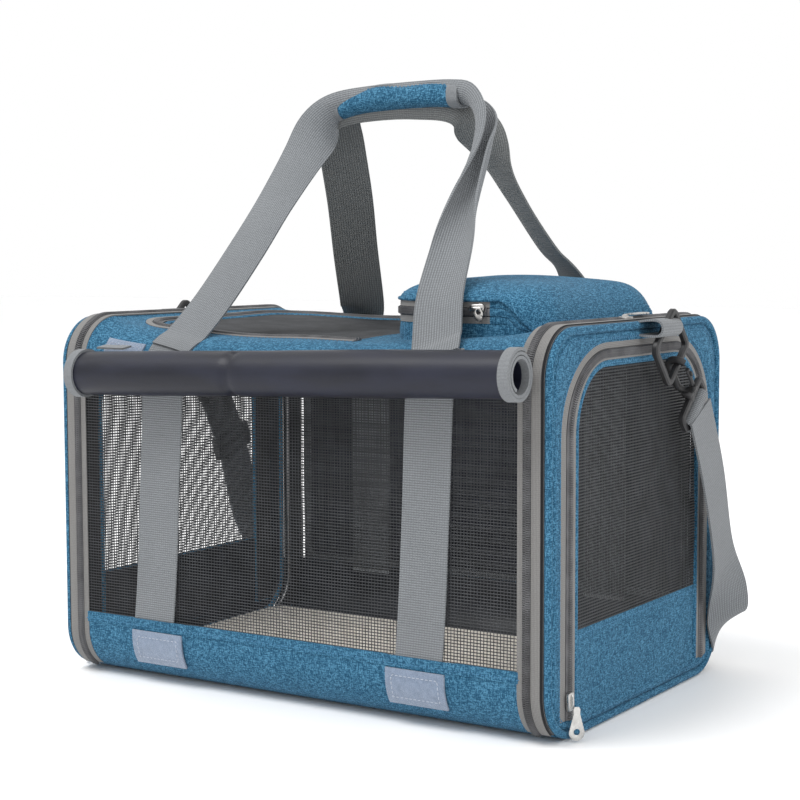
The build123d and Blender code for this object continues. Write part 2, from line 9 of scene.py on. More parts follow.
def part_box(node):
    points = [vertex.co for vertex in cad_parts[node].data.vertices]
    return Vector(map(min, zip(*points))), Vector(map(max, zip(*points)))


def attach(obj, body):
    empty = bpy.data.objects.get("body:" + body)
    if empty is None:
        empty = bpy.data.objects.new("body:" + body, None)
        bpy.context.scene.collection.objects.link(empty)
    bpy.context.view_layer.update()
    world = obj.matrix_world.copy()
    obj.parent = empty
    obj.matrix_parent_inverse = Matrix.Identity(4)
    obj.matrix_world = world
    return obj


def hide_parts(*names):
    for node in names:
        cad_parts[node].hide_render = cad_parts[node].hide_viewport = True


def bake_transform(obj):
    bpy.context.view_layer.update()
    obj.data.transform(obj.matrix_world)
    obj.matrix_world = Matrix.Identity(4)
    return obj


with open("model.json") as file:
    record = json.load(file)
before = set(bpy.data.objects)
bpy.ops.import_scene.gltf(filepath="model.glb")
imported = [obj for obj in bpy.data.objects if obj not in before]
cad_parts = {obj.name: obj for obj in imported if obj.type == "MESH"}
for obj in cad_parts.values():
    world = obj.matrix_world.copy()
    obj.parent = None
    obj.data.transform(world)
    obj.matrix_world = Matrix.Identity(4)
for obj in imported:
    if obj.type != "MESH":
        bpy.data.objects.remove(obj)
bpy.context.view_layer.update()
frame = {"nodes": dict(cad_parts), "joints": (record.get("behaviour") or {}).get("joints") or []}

# Soft pet carrier. Shapes are worked out in millimetres in the CAD frame, and become metres in piece().
# X runs along the carrier, the rolled-up cover is on the -Y side, +Z is up.

MM = 0.001
X, Y, Z = 0, 1, 2


def low(node, axis):
    """The lowest coordinate of a CAD node at rest, in millimetres."""
    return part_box(node)[0][axis] / MM


def high(node, axis):
    """The highest coordinate of a CAD node at rest, in millimetres."""
    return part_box(node)[1][axis] / MM


def pivot(joint):
    """A joint's point in millimetres."""
    found = [j for j in frame["joints"] if j["name"] == joint][0]
    return np.array(found["pos_m"]) / MM


def middle(node, axis):
    return (low(node, axis) + high(node, axis)) / 2


# ---- measures from the frame ----
HALF_X = high("right_end_piping", X)
HALF_Y = high("right_end_piping", Y)
HEIGHT = high("right_end_piping", Z)
FLAT_Y = high("bottom_panel", Y)
CORNER = HALF_Y - FLAT_Y
ZIP_IN = low("right_end_zip", X)
ZIP_OUT = high("right_end_zip", X)
BAND_TOP = high("front_lower_band", Z)
WINDOW_TOP = high("front_mesh_window", Z)
END_X = high("right_end_panel", X)
DOOR_HALF = high("right_door_binding", Y)
DOOR_FOOT = low("right_door_zip", Z)
DOOR_TOP = high("right_door_binding", Z)
DOOR_ZIP = high("right_door_zip", Y) - DOOR_HALF
DOOR_PANEL_TOP = high("right_door_panel", Z)
TOP_DOOR_LEFT = low("top_door_binding", X)
TOP_DOOR_RIGHT = high("top_door_binding", X)
TOP_DOOR_HALF = high("top_door_binding", Y)
TOP_ZIP = high("top_door_zip", Y) - TOP_DOOR_HALF
TOP_HINGE = high("top_door_zip", X)
POCKET_LEFT = low("pocket_wall", X)
POCKET_RIGHT = high("pocket_wall", X)
POCKET_HALF = high("pocket_wall", Y)
POCKET_TOP = high("pocket_lid", Z)
WEBBING_OUTER = high("front_webbing", X)
ROLL_X = middle("front_cover_roll", X)
ROLL_HALF = high("front_cover_roll", X) - ROLL_X
ROLL_END = high("front_cover_binding", X) - ROLL_X
ROLL_RADIUS = (high("front_cover_roll", Z) - low("front_cover_roll", Z)) / 2
ROLL_Y = middle("front_cover_roll", Y)
ROLL_Z = middle("front_cover_roll", Z)
COVER_SPREAD = 3
COVER_HALF = high("back_cover_binding", X) + COVER_SPREAD
COVER_LOW = low("back_cover_binding", Z)
COVER_TOP = high("back_cover_binding", Z)
COVER_Y = low("back_cover_binding", Y)
STRAP_PIVOT = pivot("shoulder_strap_swing")

# ---- measures the cloth adds ----
WEBBING = 38
WEBBING_X = WEBBING_OUTER - WEBBING / 2
DOOR_SHOULDER = 48
TOP_CORNER = 28
POCKET_CORNER = 22
POCKET_LEFT_CORNER = 44
SAG_FRONT = 15
SAG_BACK = 7
SAG_FROM = 205
CLOTH = 1.1
SAG_POWER = 0.55
SIDE_WAVE = 0.9
SIDE_PULL = 0.6
TOP_WAVE = 0.8

ARC = math.pi / 2 * CORNER
SIDE_AT = FLAT_Y + ARC
SHOULDER_AT = SIDE_AT + HEIGHT - 2 * CORNER
TOP_AT = SHOULDER_AT + ARC
CROWN_AT = TOP_AT + FLAT_Y


# ---- small tools ----
def unit(v):
    return v / np.maximum(np.linalg.norm(v, axis=-1, keepdims=True), 1e-9)


def smooth(t):
    t = np.clip(t, 0, 1)
    return t * t * (3 - 2 * t)


def step(points, axis, wrap=False):
    if wrap:
        return np.roll(points, -1, axis) - np.roll(points, 1, axis)
    return np.gradient(points, axis=axis)


def distances(points, wrap=False):
    """Distance along a line of points, from its first."""
    line = np.vstack([points, points[:1]]) if wrap else points
    return np.concatenate([[0], np.cumsum(np.linalg.norm(np.diff(line, axis=0), axis=1))])


def resample(points, spacing=None, count=None, wrap=False):
    """Points at even distances along a line."""
    at = distances(points, wrap)
    line = np.vstack([points, points[:1]]) if wrap else points
    if count is None:
        count = max(int(at[-1] / spacing), 2)
    where = np.linspace(0, at[-1], count, endpoint=not wrap)
    return np.stack([np.interp(where, at, line[:, k]) for k in range(line.shape[1])], 1)


def ripple(a, b, size, seed):
    """Soft irregular waves over two coordinates in millimetres, about -1 to 1."""
    random = np.random.default_rng(seed)
    total = 0
    for _ in range(5):
        angle = random.uniform(0, math.pi)
        length = size * random.uniform(0.7, 1.6)
        phase = random.uniform(0, 2 * math.pi)
        total = total + np.sin((a * math.cos(angle) + b * math.sin(angle)) * 2 * math.pi / length + phase)
    return total / 3


def oval(a, b, count=16):
    t = np.linspace(0, 2 * math.pi, count, endpoint=False)
    return np.stack([a * np.cos(t), b * np.sin(t)], 1)


def bar(a, b, edge=0.6):
    """A rectangular section with its corners taken off."""
    x, y = a - edge, b - edge
    return np.array([(a, -y), (a, y), (x, b), (-x, b), (-a, y), (-a, -y), (-x, -b), (x, -b)])


class Shape:
    """Gathers faces in millimetres, each with its place on the cloth and its material."""

    def __init__(self):
        self.points = []
        self.faces = []
        self.cloth_at = []
        self.paints = []
        self.total = 0

    def put(self, points, faces, cloth_at=None, paint=0):
        points = np.asarray(points, float).reshape(-1, 3)
        faces = np.asarray(faces, int)
        if cloth_at is None:
            cloth_at = np.zeros(faces.shape + (2,))
        self.points.append(points)
        self.faces.append(faces + self.total)
        self.cloth_at.append(np.asarray(cloth_at, float))
        self.paints.append(np.broadcast_to(paint, len(faces)).astype(int))
        self.total += len(points)

    def grid(self, points, wrap_u=False, wrap_v=False, paint=0, flip=False):
        """A surface through rows of points. paint is one material, or one for each column of faces."""
        rows, columns = points.shape[:2]
        down = rows if wrap_v else rows - 1
        across = columns if wrap_u else columns - 1
        i, j = (k.ravel() for k in np.meshgrid(np.arange(down), np.arange(across), indexing="ij"))
        after, beside = (i + 1) % rows, (j + 1) % columns
        faces = np.stack(
            [i * columns + j, i * columns + beside, after * columns + beside, after * columns + j], 1
        )
        u = distances(points[rows // 2], wrap_u)
        v = distances(points[:, columns // 2], wrap_v)
        cloth_at = np.stack(
            [
                np.stack([u[j], v[i]], 1),
                np.stack([u[j + 1], v[i]], 1),
                np.stack([u[j + 1], v[i + 1]], 1),
                np.stack([u[j], v[i + 1]], 1),
            ],
            1,
        )
        if flip:
            faces, cloth_at = faces[:, ::-1], cloth_at[:, ::-1]
        self.put(points, faces, cloth_at, np.asarray(paint)[j] if np.ndim(paint) else paint)

    def cloth(self, points, thick=CLOTH, wrap_u=False, wrap_v=False, paint=0, lining=1):
        """A sheet with a face on both sides and closed edges. It lies behind the points."""
        normal = unit(np.cross(step(points, 1, wrap_u), step(points, 0, wrap_v)))
        inner = points - normal * thick
        self.grid(points, wrap_u, wrap_v, paint)
        self.grid(inner, wrap_u, wrap_v, lining, flip=True)
        edge = paint if not np.ndim(paint) else paint[0]
        if not wrap_v:
            self.grid(np.stack([inner[0], points[0]]), wrap_u, False, edge)
            self.grid(np.stack([points[-1], inner[-1]]), wrap_u, False, edge)
        if not wrap_u:
            self.grid(np.stack([points[:, 0], inner[:, 0]]), wrap_v, False, edge)
            self.grid(np.stack([inner[:, -1], points[:, -1]]), wrap_v, False, edge)

    def tube(self, path, section, facing, closed=False, paint=0):
        """A closed section carried along a path. facing is the direction the section's second axis points."""
        path = np.asarray(path, float)
        along = unit(step(path, 0, closed))
        side = unit(np.cross(along, np.broadcast_to(np.asarray(facing, float), path.shape)))
        lift = np.cross(side, along)
        section = np.asarray(section, float)
        points = (
            path[:, None] + section[..., 0:1] * side[:, None] + section[..., 1:2] * lift[:, None]
        )
        self.grid(points, True, closed, paint, flip=True)
        if not closed:
            self.cap(points[0], paint)
            self.cap(points[-1][::-1], paint)

    def cap(self, ring, paint=0):
        """Closes a ring of points with a fan."""
        count = len(ring)
        i = np.arange(count)
        faces = np.stack([i, (i + 1) % count, np.full(count, count)], 1)
        self.put(np.vstack([ring, ring.mean(0)]), faces, None, paint)

    def threads(self, lines, facing, across, deep, paint=0):
        """Thin four-sided threads along many lines, each with the same number of points."""
        along = unit(np.gradient(lines, axis=1))
        lift = np.broadcast_to(np.asarray(facing, float), lines.shape)
        side = unit(np.cross(along, lift))
        ring = np.stack(
            [lines + side * across, lines + lift * deep, lines - side * across, lines - lift * deep], 2
        )
        index = np.arange(ring[..., 0].size).reshape(ring.shape[:3])
        start, end = index[:, :-1], index[:, 1:]
        faces = np.stack([start, np.roll(start, -1, 2), np.roll(end, -1, 2), end], -1).reshape(-1, 4)
        self.put(ring, faces, None, paint)

    def repeat(self, points, faces, places, across, along, facing, paint=0):
        """The same small form at many places. Its axes are across, along and facing."""
        axes = np.stack([across, along, facing], 1)
        put = places[:, None] + np.einsum("kc,ncd->nkd", points, axes)
        offset = np.arange(len(places))[:, None, None] * len(points)
        self.put(put, (np.asarray(faces)[None] + offset).reshape(-1, len(faces[0])), None, paint)

    def moved(self, change):
        """A copy whose points have been through a function."""
        copy = Shape()
        copy.points = [change(p) for p in self.points]
        copy.faces, copy.cloth_at = list(self.faces), list(self.cloth_at)
        copy.paints, copy.total = list(self.paints), self.total
        return copy

    def both(self):
        """The shape with its mirror image at the left-hand end."""
        copy = self.moved(lambda p: p)
        other = self.mirrored()
        copy.points += other.points
        copy.faces += [f + self.total for f in other.faces]
        copy.cloth_at += other.cloth_at
        copy.paints += other.paints
        copy.total += other.total
        return copy

    def mirrored(self):
        """The same shape at the left-hand end."""
        copy = self.moved(lambda p: p * (-1, 1, 1))
        copy.faces = [f[:, ::-1] for f in copy.faces]
        copy.cloth_at = [c[:, ::-1] for c in copy.cloth_at]
        return copy


PEBBLE_SHAPE = 4


def pebble(a, b, c, power=PEBBLE_SHAPE, rings=7, count=12):
    """Points and faces of a rounded block with half sizes a, b and c."""

    def bend(value):
        return np.sign(value) * np.abs(value) ** (2 / power)

    up = np.linspace(-math.pi / 2, math.pi / 2, rings + 2)[1:-1]
    round_ = np.linspace(0, 2 * math.pi, count, endpoint=False)
    points = [(0, 0, -c)]
    for t in up:
        level, height = bend(np.cos(t)), c * bend(np.sin(t))
        for p in round_:
            points.append((a * level * bend(np.cos(p)), b * level * bend(np.sin(p)), height))
    points.append((0, 0, c))
    last = len(points) - 1
    faces = []
    for k in range(count):
        beside = (k + 1) % count
        faces.append((0, 1 + beside, 1 + k, 1 + k))
        for r in range(rings - 1):
            here, above = 1 + r * count, 1 + (r + 1) * count
            faces.append((here + k, here + beside, above + beside, above + k))
        top = 1 + (rings - 1) * count
        faces.append((top + k, top + beside, last, last))
    return np.array(points, float), faces


BLOCK_TAPER = 0.6


def small_block(a, b, c):
    """An eight-point block with a narrower top, for one tooth or stitch."""
    corners = ((-1, -1), (1, -1), (1, 1), (-1, 1))
    points = [(sx * a * k, sy * b * k, sz * c) for sz, k in ((-1, 1), (1, BLOCK_TAPER)) for sx, sy in corners]
    faces = [(3, 2, 1, 0), (4, 5, 6, 7), (0, 1, 5, 4), (1, 2, 6, 5), (2, 3, 7, 6), (3, 0, 4, 7)]
    return np.array(points, float), faces


def piece(name, shape, body, nodes=(), paints=(), sharp=40):
    """One mesh object from a shape, riding on a body and standing for CAD nodes."""
    faces, cloth_at, slots = [], [], []
    for f, c, p in zip(shape.faces, shape.cloth_at, shape.paints):
        same = f[:, -1] == f[:, -2] if f.shape[1] == 4 else np.zeros(len(f), bool)
        for part, keep in ((f[~same], c[~same]), (f[same][:, :3], c[same][:, :3])):
            faces.extend(part.tolist())
            cloth_at.append(keep.reshape(-1, 2))
        slots.extend(p[~same].tolist() + p[same].tolist())
    mesh = bpy.data.meshes.new(name)
    mesh.from_pydata((np.vstack(shape.points) * MM).tolist(), [], faces)
    layer = mesh.uv_layers.new(name="cloth")
    layer.data.foreach_set("uv", (np.vstack(cloth_at) * MM).astype(np.float32).ravel())
    mesh.polygons.foreach_set("material_index", slots)
    for paint in paints:
        mesh.materials.append(paint)
    mesh.shade_smooth()
    mesh.set_sharp_from_angle(angle=math.radians(sharp))
    mesh.update()
    obj = bpy.data.objects.new(name, mesh)
    bpy.context.scene.collection.objects.link(obj)
    if body:
        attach(obj, body)
    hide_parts(*nodes)
    return obj


def at_both_ends(name, shape, body, nodes, paints, sharp=40):
    """The same piece at the right-hand end and mirrored at the left. {} in a name is the end."""
    for end, form in (("right", shape), ("left", shape.mirrored())):
        piece(name.format(end), form, body.format(end), [n.format(end) for n in nodes], paints, sharp)


# ---- outlines ----
def hoop(half, rise, corner, off=0, count=20):
    """An arch open at its foot: points and outward directions in its plane, moved outwards by off."""
    turn = np.linspace(0, math.pi / 2, count)
    centre = np.array([half - corner, rise - corner])
    foot = np.linspace(0, rise - corner, 14)[:-1]
    flat = np.linspace(1, -1, 14)[1:-1] * (half - corner)
    out = np.concatenate(
        [
            np.tile([1.0, 0.0], (len(foot), 1)),
            np.stack([np.cos(turn), np.sin(turn)], 1),
            np.tile([0.0, 1.0], (len(flat), 1)),
            np.stack([-np.sin(turn), np.cos(turn)], 1),
            np.tile([-1.0, 0.0], (len(foot), 1)),
        ]
    )
    base = np.concatenate(
        [
            np.stack([np.full(len(foot), half - corner), foot], 1),
            np.tile(centre, (count, 1)),
            np.stack([flat, np.full(len(flat), rise - corner)], 1),
            np.tile(centre * (-1, 1), (count, 1)),
            np.stack([np.full(len(foot), corner - half), foot[::-1]], 1),
        ]
    )
    return base + out * (corner + off), out


def ring(half_a, half_b, corner, off=0, count=12, left=None):
    """A rounded rectangle as a closed line, moved outwards by off. left is its left-hand corners' radius."""
    line = []
    corners = (corner, left or corner, left or corner, corner)
    for quarter, corner in enumerate(corners):
        turn = math.pi / 2 * (quarter + np.linspace(0, 1, count))
        out = np.stack([np.cos(turn), np.sin(turn)], 1)
        signs = np.array([(1, 1), (-1, 1), (-1, -1), (1, -1)][quarter])
        line.append(signs * (half_a - corner, half_b - corner) + out * (corner + off))
    return np.concatenate(line)


def wrap(s):
    """(y, z, ny, nz) of the shell's section, s round it from the middle of its base, minus at the front."""
    side, d = np.where(s < 0, -1.0, 1.0), np.abs(s)
    first = np.clip((d - FLAT_Y) / CORNER, 0, math.pi / 2)
    second = np.clip((d - SHOULDER_AT) / CORNER, 0, math.pi / 2)
    y = np.minimum(d, FLAT_Y) + CORNER * (np.sin(first) + np.cos(second) - 1) - np.clip(d - TOP_AT, 0, FLAT_Y)
    z = CORNER * (1 - np.cos(first) + np.sin(second)) + np.clip(d - SIDE_AT, 0, SHOULDER_AT - SIDE_AT)
    return side * y, z, side * np.sin(first + second), -np.cos(first + second)


def s_at(z):
    """How far round the shell a height on its side is."""
    if z < CORNER:
        return FLAT_Y + CORNER * math.acos(1 - z / CORNER)
    if z <= HEIGHT - CORNER:
        return SIDE_AT + z - CORNER
    return SHOULDER_AT + CORNER * math.asin((z - HEIGHT + CORNER) / CORNER)


def relax(points):
    """Lets cloth down between the end frames, most at the front of the top, and ripples it a little."""
    points = np.array(points, float)
    x, y, z = (points[..., k].copy() for k in range(3))
    free = np.clip(1 - (x / ZIP_IN) ** 2, 0, 1) ** SAG_POWER
    share = (np.clip(y, -FLAT_Y, FLAT_Y) / FLAT_Y + 1) / 2
    drop = SAG_FRONT + (SAG_BACK - SAG_FRONT) * share
    points[..., 2] -= free * drop * smooth((z - SAG_FROM) / (HEIGHT - SAG_FROM))
    side = np.sign(y) * smooth((np.abs(y) - FLAT_Y) / CORNER)
    belly = np.sin(math.pi * np.clip(z / HEIGHT, 0, 1))
    points[..., 1] += side * free * belly * (SIDE_WAVE * ripple(x, z, 120, 3) - SIDE_PULL)
    points[..., 2] += free * smooth((z - HEIGHT + CORNER) / CORNER) * TOP_WAVE * ripple(x, y, 95, 5)
    return points


def above(x, s, lift):
    """Points over the unrelaxed shell, at places x along it and distances s round it."""
    y, z, ny, nz = wrap(s)
    return np.stack(np.broadcast_arrays(x, y + ny * lift, z + nz * lift), -1)


def shell(x, s, lift=0.0):
    """Points of the relaxed shell: rows over x, columns over the distance round."""
    return relax(above(x[:, None], s, lift))


def outwards(s):
    """The shell's outward directions at distances s round it."""
    ny, nz = wrap(s)[2:]
    return np.stack([np.zeros(len(s)), ny, nz], 1)


def ordered(side, values):
    """Values in the order that turns the cloth's face outwards on one side of the carrier."""
    return values if side > 0 else values[::-1]


def on_end(places, x):
    """Points on an end face from places (y, z)."""
    return np.stack(np.broadcast_arrays(x, places[..., 0], places[..., 1]), -1)


def corner_bite(distance, radius):
    """How far a rounded corner takes an edge in, at a distance past the start of its arc."""
    into = np.clip(distance / radius, 0, 1)
    return radius * (1 - np.sqrt(1 - into**2))


def fan(outer, inner, centre, steps):
    """Rows from an outer closed outline to an inner one, both seen from the same centre."""

    def polar(line):
        offset = line - centre
        return np.arctan2(offset[:, 1], offset[:, 0]), np.linalg.norm(offset, axis=1)

    outer_turn, outer_far = polar(outer)
    inner_turn, inner_far = polar(inner)
    even = np.linspace(-math.pi, math.pi, 160, endpoint=False)
    turns = np.sort(np.concatenate([outer_turn, inner_turn, even]))
    turns = turns[np.concatenate([[True], np.diff(turns) > 1e-4])]

    def reach(turn, far):
        order = np.argsort(turn)
        return np.interp(turns, turn[order], far[order], period=2 * math.pi)

    share = np.linspace(1, 0, steps)[:, None]
    far = reach(inner_turn, inner_far) * (1 - share) + reach(outer_turn, outer_far) * share
    return np.stack([centre[0] + far * np.cos(turns), centre[1] + far * np.sin(turns)], -1)


def rectangle(low_a, high_a, low_b, high_b, count=40):
    """A closed rectangle with points along its sides, corners included."""
    t = np.linspace(0, 1, count, endpoint=False)
    still = np.ones(count)
    wide, tall = high_a - low_a, high_b - low_b
    a = np.concatenate([low_a + wide * t, still * high_a, high_a - wide * t, still * low_a])
    b = np.concatenate([still * low_b, low_b + tall * t, still * high_b, high_b - tall * t])
    return np.stack([a, b], 1)


# ---- materials ----
def new_material(name, **shader):
    """A material and its tree. Values that are the same all over are set on the shader's own sockets."""
    material = bpy.data.materials.new(name)
    material.use_nodes = True
    tree = material.node_tree
    surface = tree.nodes["Principled BSDF"]
    for socket, value in shader.items():
        surface.inputs[socket.replace("_", " ")].default_value = value
    return material, tree, surface


def node(tree, kind, sockets=None, **settings):
    made = tree.nodes.new(kind)
    for key, value in settings.items():
        setattr(made, key, value)
    for key, value in (sockets or {}).items():
        if isinstance(value, bpy.types.NodeSocket):
            tree.links.new(value, made.inputs[key])
        else:
            made.inputs[key].default_value = value
    return made


def maths(tree, operation, a, b=0.0):
    return node(tree, "ShaderNodeMath", {0: a, 1: b}, operation=operation).outputs[0]


def noise(tree, scale, detail=3.0):
    """Noise in space. scale is how many features fit in a metre along each axis."""
    place = node(tree, "ShaderNodeTexCoord").outputs["Object"]
    stretched = node(tree, "ShaderNodeMapping", {"Vector": place, "Scale": scale}).outputs[0]
    return node(tree, "ShaderNodeTexNoise", {"Vector": stretched, "Scale": 1.0, "Detail": detail}).outputs[0]


def spread(tree, value, start, end, to=(0.0, 1.0)):
    """Stretches start..end to a full range."""
    return node(
        tree, "ShaderNodeMapRange", {"Value": value, 1: start, 2: end, 3: to[0], 4: to[1]}
    ).outputs[0]


def mix(tree, share, a, b):
    made = node(tree, "ShaderNodeMix", data_type="RGBA")
    for index, value in ((0, share), (6, a), (7, b)):
        if isinstance(value, bpy.types.NodeSocket):
            tree.links.new(value, made.inputs[index])
        elif index:
            made.inputs[index].default_value = (*value, 1.0)
        else:
            made.inputs[index].default_value = value
    return made.outputs[2]


def bump(tree, surface, height, strength, distance):
    made = node(tree, "ShaderNodeBump", {"Height": height, "Strength": strength, "Distance": distance})
    tree.links.new(made.outputs[0], surface.inputs["Normal"])


def waves(tree, axis, pitch):
    """0 to 1 waves across the cloth's own coordinates, one each pitch millimetres."""
    cloth = node(tree, "ShaderNodeUVMap", uv_map="cloth").outputs[0]
    value = node(tree, "ShaderNodeSeparateXYZ", {0: cloth}).outputs[axis]
    turned = maths(tree, "SINE", maths(tree, "MULTIPLY", value, 2 * math.pi / (pitch * MM)))
    return spread(tree, turned, -1.0, 1.0)


def paint_with(tree, surface, colour):
    tree.links.new(colour, surface.inputs["Base Color"])


def heather(name, deep, mid, light):
    """Melange polyester: dark and light threads in three directions, with slubs and slow shading."""
    material, tree, surface = new_material(name, Roughness=0.9, Sheen_Weight=0.04, Sheen_Roughness=0.5)
    surface.inputs["Specular IOR Level"].default_value = 0.12
    streaks = [noise(tree, scale, 4.0) for scale in ((260, 1200, 1200), (1200, 260, 1200), (1200, 1200, 260))]
    total = maths(tree, "ADD", maths(tree, "ADD", streaks[0], streaks[1]), streaks[2])
    threads = spread(tree, total, 1.32, 1.68)
    speckle = spread(tree, noise(tree, (1500, 1500, 1500), 2.0), 0.38, 0.62)
    slow = spread(tree, noise(tree, (22, 22, 22), 2.0), 0.3, 0.7)
    both = maths(tree, "ADD", maths(tree, "MULTIPLY", threads, 0.72), maths(tree, "MULTIPLY", speckle, 0.28))
    base = mix(tree, spread(tree, both, 0.08, 0.62), deep, mid)
    lit = mix(tree, spread(tree, both, 0.5, 1.0), base, light)
    shaded = mix(tree, maths(tree, "MULTIPLY", slow, 0.10), lit, deep)
    paint_with(tree, surface, shaded)
    bump(tree, surface, both, 0.32, 0.0006)
    return material


def woven(name, deep, light, across, along, strength=0.5, rough=0.8, depth=0.0004, sheen=0.15):
    """Webbing or tape: ribs at one pitch across and another along the cloth."""
    material, tree, surface = new_material(name, Roughness=rough, Sheen_Weight=sheen)
    surface.inputs["Specular IOR Level"].default_value = 0.3
    rows = spread(tree, waves(tree, 1, along), 0.0, 1.0, (0.45, 1.0))
    ribs = maths(tree, "MULTIPLY", waves(tree, 0, across), rows)
    grain = spread(tree, noise(tree, (900, 900, 900), 2.0), 0.3, 0.7)
    height = maths(tree, "ADD", ribs, maths(tree, "MULTIPLY", grain, 0.3))
    share = spread(tree, height, 0.1, 0.95)
    slow = spread(tree, noise(tree, (30, 30, 30), 2.0), 0.3, 0.7)
    shade = maths(tree, "MULTIPLY", slow, 0.18)
    paint_with(tree, surface, mix(tree, shade, mix(tree, share, deep, light), deep))
    bump(tree, surface, height, strength, depth)
    return material


def satin(name, deep, light):
    """Smooth coated lining with a soft shine and fine creases; its colour is darker in the crease hollows as
    painted shade and lighter on their ridges as painted highlight.
    """
    material, tree, surface = new_material(name, Coat_Weight=0.08, Coat_Roughness=0.3)
    surface.inputs["Specular IOR Level"].default_value = 0.3
    fine = noise(tree, (1400, 500, 1400), 2.0)
    crease = noise(tree, (18, 60, 60), 4.0)
    # The colour follows the creases: painted shade in their hollows, painted highlight on their ridges.
    slow = spread(tree, crease, 0.35, 0.65)
    paint_with(tree, surface, mix(tree, slow, deep, light))
    tree.links.new(spread(tree, crease, 0.3, 0.7, (0.36, 0.55)), surface.inputs["Roughness"])
    bump(tree, surface, maths(tree, "ADD", maths(tree, "MULTIPLY", fine, 0.25), crease), 0.35, 0.0016)
    return material


def fuzz(name, deep, light, scale, strength):
    """A napped surface: hook-and-loop or plush."""
    material, tree, surface = new_material(name, Roughness=0.95, Sheen_Weight=0.7, Sheen_Roughness=0.6)
    tuft = noise(tree, (scale, scale, scale), 5.0)
    clump = noise(tree, (scale / 6, scale / 6, scale / 6), 3.0)
    height = maths(tree, "ADD", tuft, maths(tree, "MULTIPLY", clump, 0.6))
    paint_with(tree, surface, mix(tree, spread(tree, height, 0.6, 1.0), deep, light))
    bump(tree, surface, height, strength, 0.001)
    return material


def metal(name, colour, rough):
    material, tree, surface = new_material(name, Metallic=1.0)
    scratch = noise(tree, (300, 2600, 300), 3.0)
    worn = noise(tree, (150, 150, 150), 3.0)
    dark = tuple(c * 0.72 for c in colour)
    paint_with(tree, surface, mix(tree, spread(tree, worn, 0.3, 0.7), dark, colour))
    tree.links.new(spread(tree, scratch, 0.3, 0.7, (rough, rough + 0.16)), surface.inputs["Roughness"])
    bump(tree, surface, scratch, 0.08, 0.0002)
    return material


def plastic(name, deep, light, rough):
    """Moulded plastic with a fine sparked texture."""
    material, tree, surface = new_material(name)
    grain = noise(tree, (2400, 2400, 2400), 2.0)
    worn = spread(tree, noise(tree, (60, 60, 60), 3.0), 0.35, 0.7)
    paint_with(tree, surface, mix(tree, worn, deep, light))
    tree.links.new(spread(tree, grain, 0.3, 0.7, (rough, rough + 0.15)), surface.inputs["Roughness"])
    bump(tree, surface, grain, 0.18, 0.0003)
    return material


BLUE = heather("blue_heather", (0.012, 0.060, 0.115), (0.034, 0.128, 0.222), (0.10, 0.27, 0.41))
LINING = satin("black_lining", (0.010, 0.011, 0.014), (0.018, 0.020, 0.026))
MESH = plastic("mesh_thread", (0.012, 0.014, 0.017), (0.030, 0.033, 0.038), 0.45)
TAPE = woven("zip_tape_light", (0.145, 0.142, 0.138), (0.235, 0.23, 0.224), 1.1, 1.3, 0.4)
# The zip tape again, darkened as painted shade, for the inner side of the top zip.
TAPE_PAINTED_SHADE = woven("zip_tape_painted_shade", (0.10, 0.10, 0.105), (0.18, 0.18, 0.186), 1.1, 1.3, 0.4)
BLACK_TAPE = woven("zip_line_black", (0.006, 0.006, 0.008), (0.014, 0.015, 0.017), 0.8, 1.0, 0.3)
COIL = plastic("zip_coil", (0.07, 0.07, 0.074), (0.14, 0.14, 0.147), 0.35)
WEB = woven("grey_webbing", (0.122, 0.130, 0.138), (0.245, 0.260, 0.275), 1.7, 2.1, 0.6, depth=0.0006)
# The same grey webbing darkened as painted shade, for the back handle.
WEB_PAINTED_SHADE = woven("grey_webbing_painted_shade", (0.105, 0.11, 0.11), (0.21, 0.218, 0.218), 1.7, 2.1, 0.6, depth=0.0006)
BINDING = woven("grey_binding", (0.13, 0.138, 0.146), (0.25, 0.262, 0.275), 0.9, 1.0, 0.45)
SATIN = satin("cover_satin", (0.005, 0.006, 0.013), (0.012, 0.014, 0.028))
HOOK_LOOP = fuzz("hook_loop_blue", (0.10, 0.15, 0.23), (0.19, 0.25, 0.36), 1500, 0.6)
PLUSH = fuzz("pad_plush", (0.50, 0.44, 0.36), (0.82, 0.76, 0.66), 500, 0.8)
NICKEL = metal("nickel", (0.62, 0.61, 0.59), 0.22)
STEEL = metal("steel_wire", (0.42, 0.42, 0.43), 0.35)
PLASTIC = plastic("black_plastic", (0.010, 0.010, 0.011), (0.022, 0.022, 0.024), 0.38)
BOARD = plastic("grey_board", (0.055, 0.055, 0.058), (0.09, 0.09, 0.095), 0.6)
THREAD = woven("blue_stitch", (0.03, 0.12, 0.22), (0.07, 0.25, 0.42), 0.5, 0.6, 0.3)
THREAD_LIGHT = woven("light_stitch", (0.30, 0.34, 0.42), (0.5, 0.54, 0.62), 0.5, 0.6, 0.3)

SEWN = [BLUE, LINING, THREAD]
# The second zip paint is the tape darkened as painted shade.
ZIP_PAINTS = [TAPE, TAPE_PAINTED_SHADE, COIL, BLACK_TAPE, COIL]


# ---- sewn details ----
STITCH = (0.35, 1.1, 0.22)
STITCH_PITCH = 3.4


def stitches(shape, path, out, paint=2, lift=0.2, pitch=STITCH_PITCH):
    """Dashes along a path on a surface whose outward direction at each point is out."""
    at = resample(np.hstack([path, np.broadcast_to(out, path.shape)]), pitch)
    places, facing = at[:, :3], unit(at[:, 3:])
    along = unit(np.gradient(places, axis=0))
    across = unit(np.cross(along, facing))
    points, faces = small_block(*STITCH)
    shape.repeat(points, faces, places + facing * lift, across, along, facing, paint)


TOOTH = (1.9, 0.52, 0.75)
TOOTH_PITCH = 1.55
TOOTH_APART = 1.15


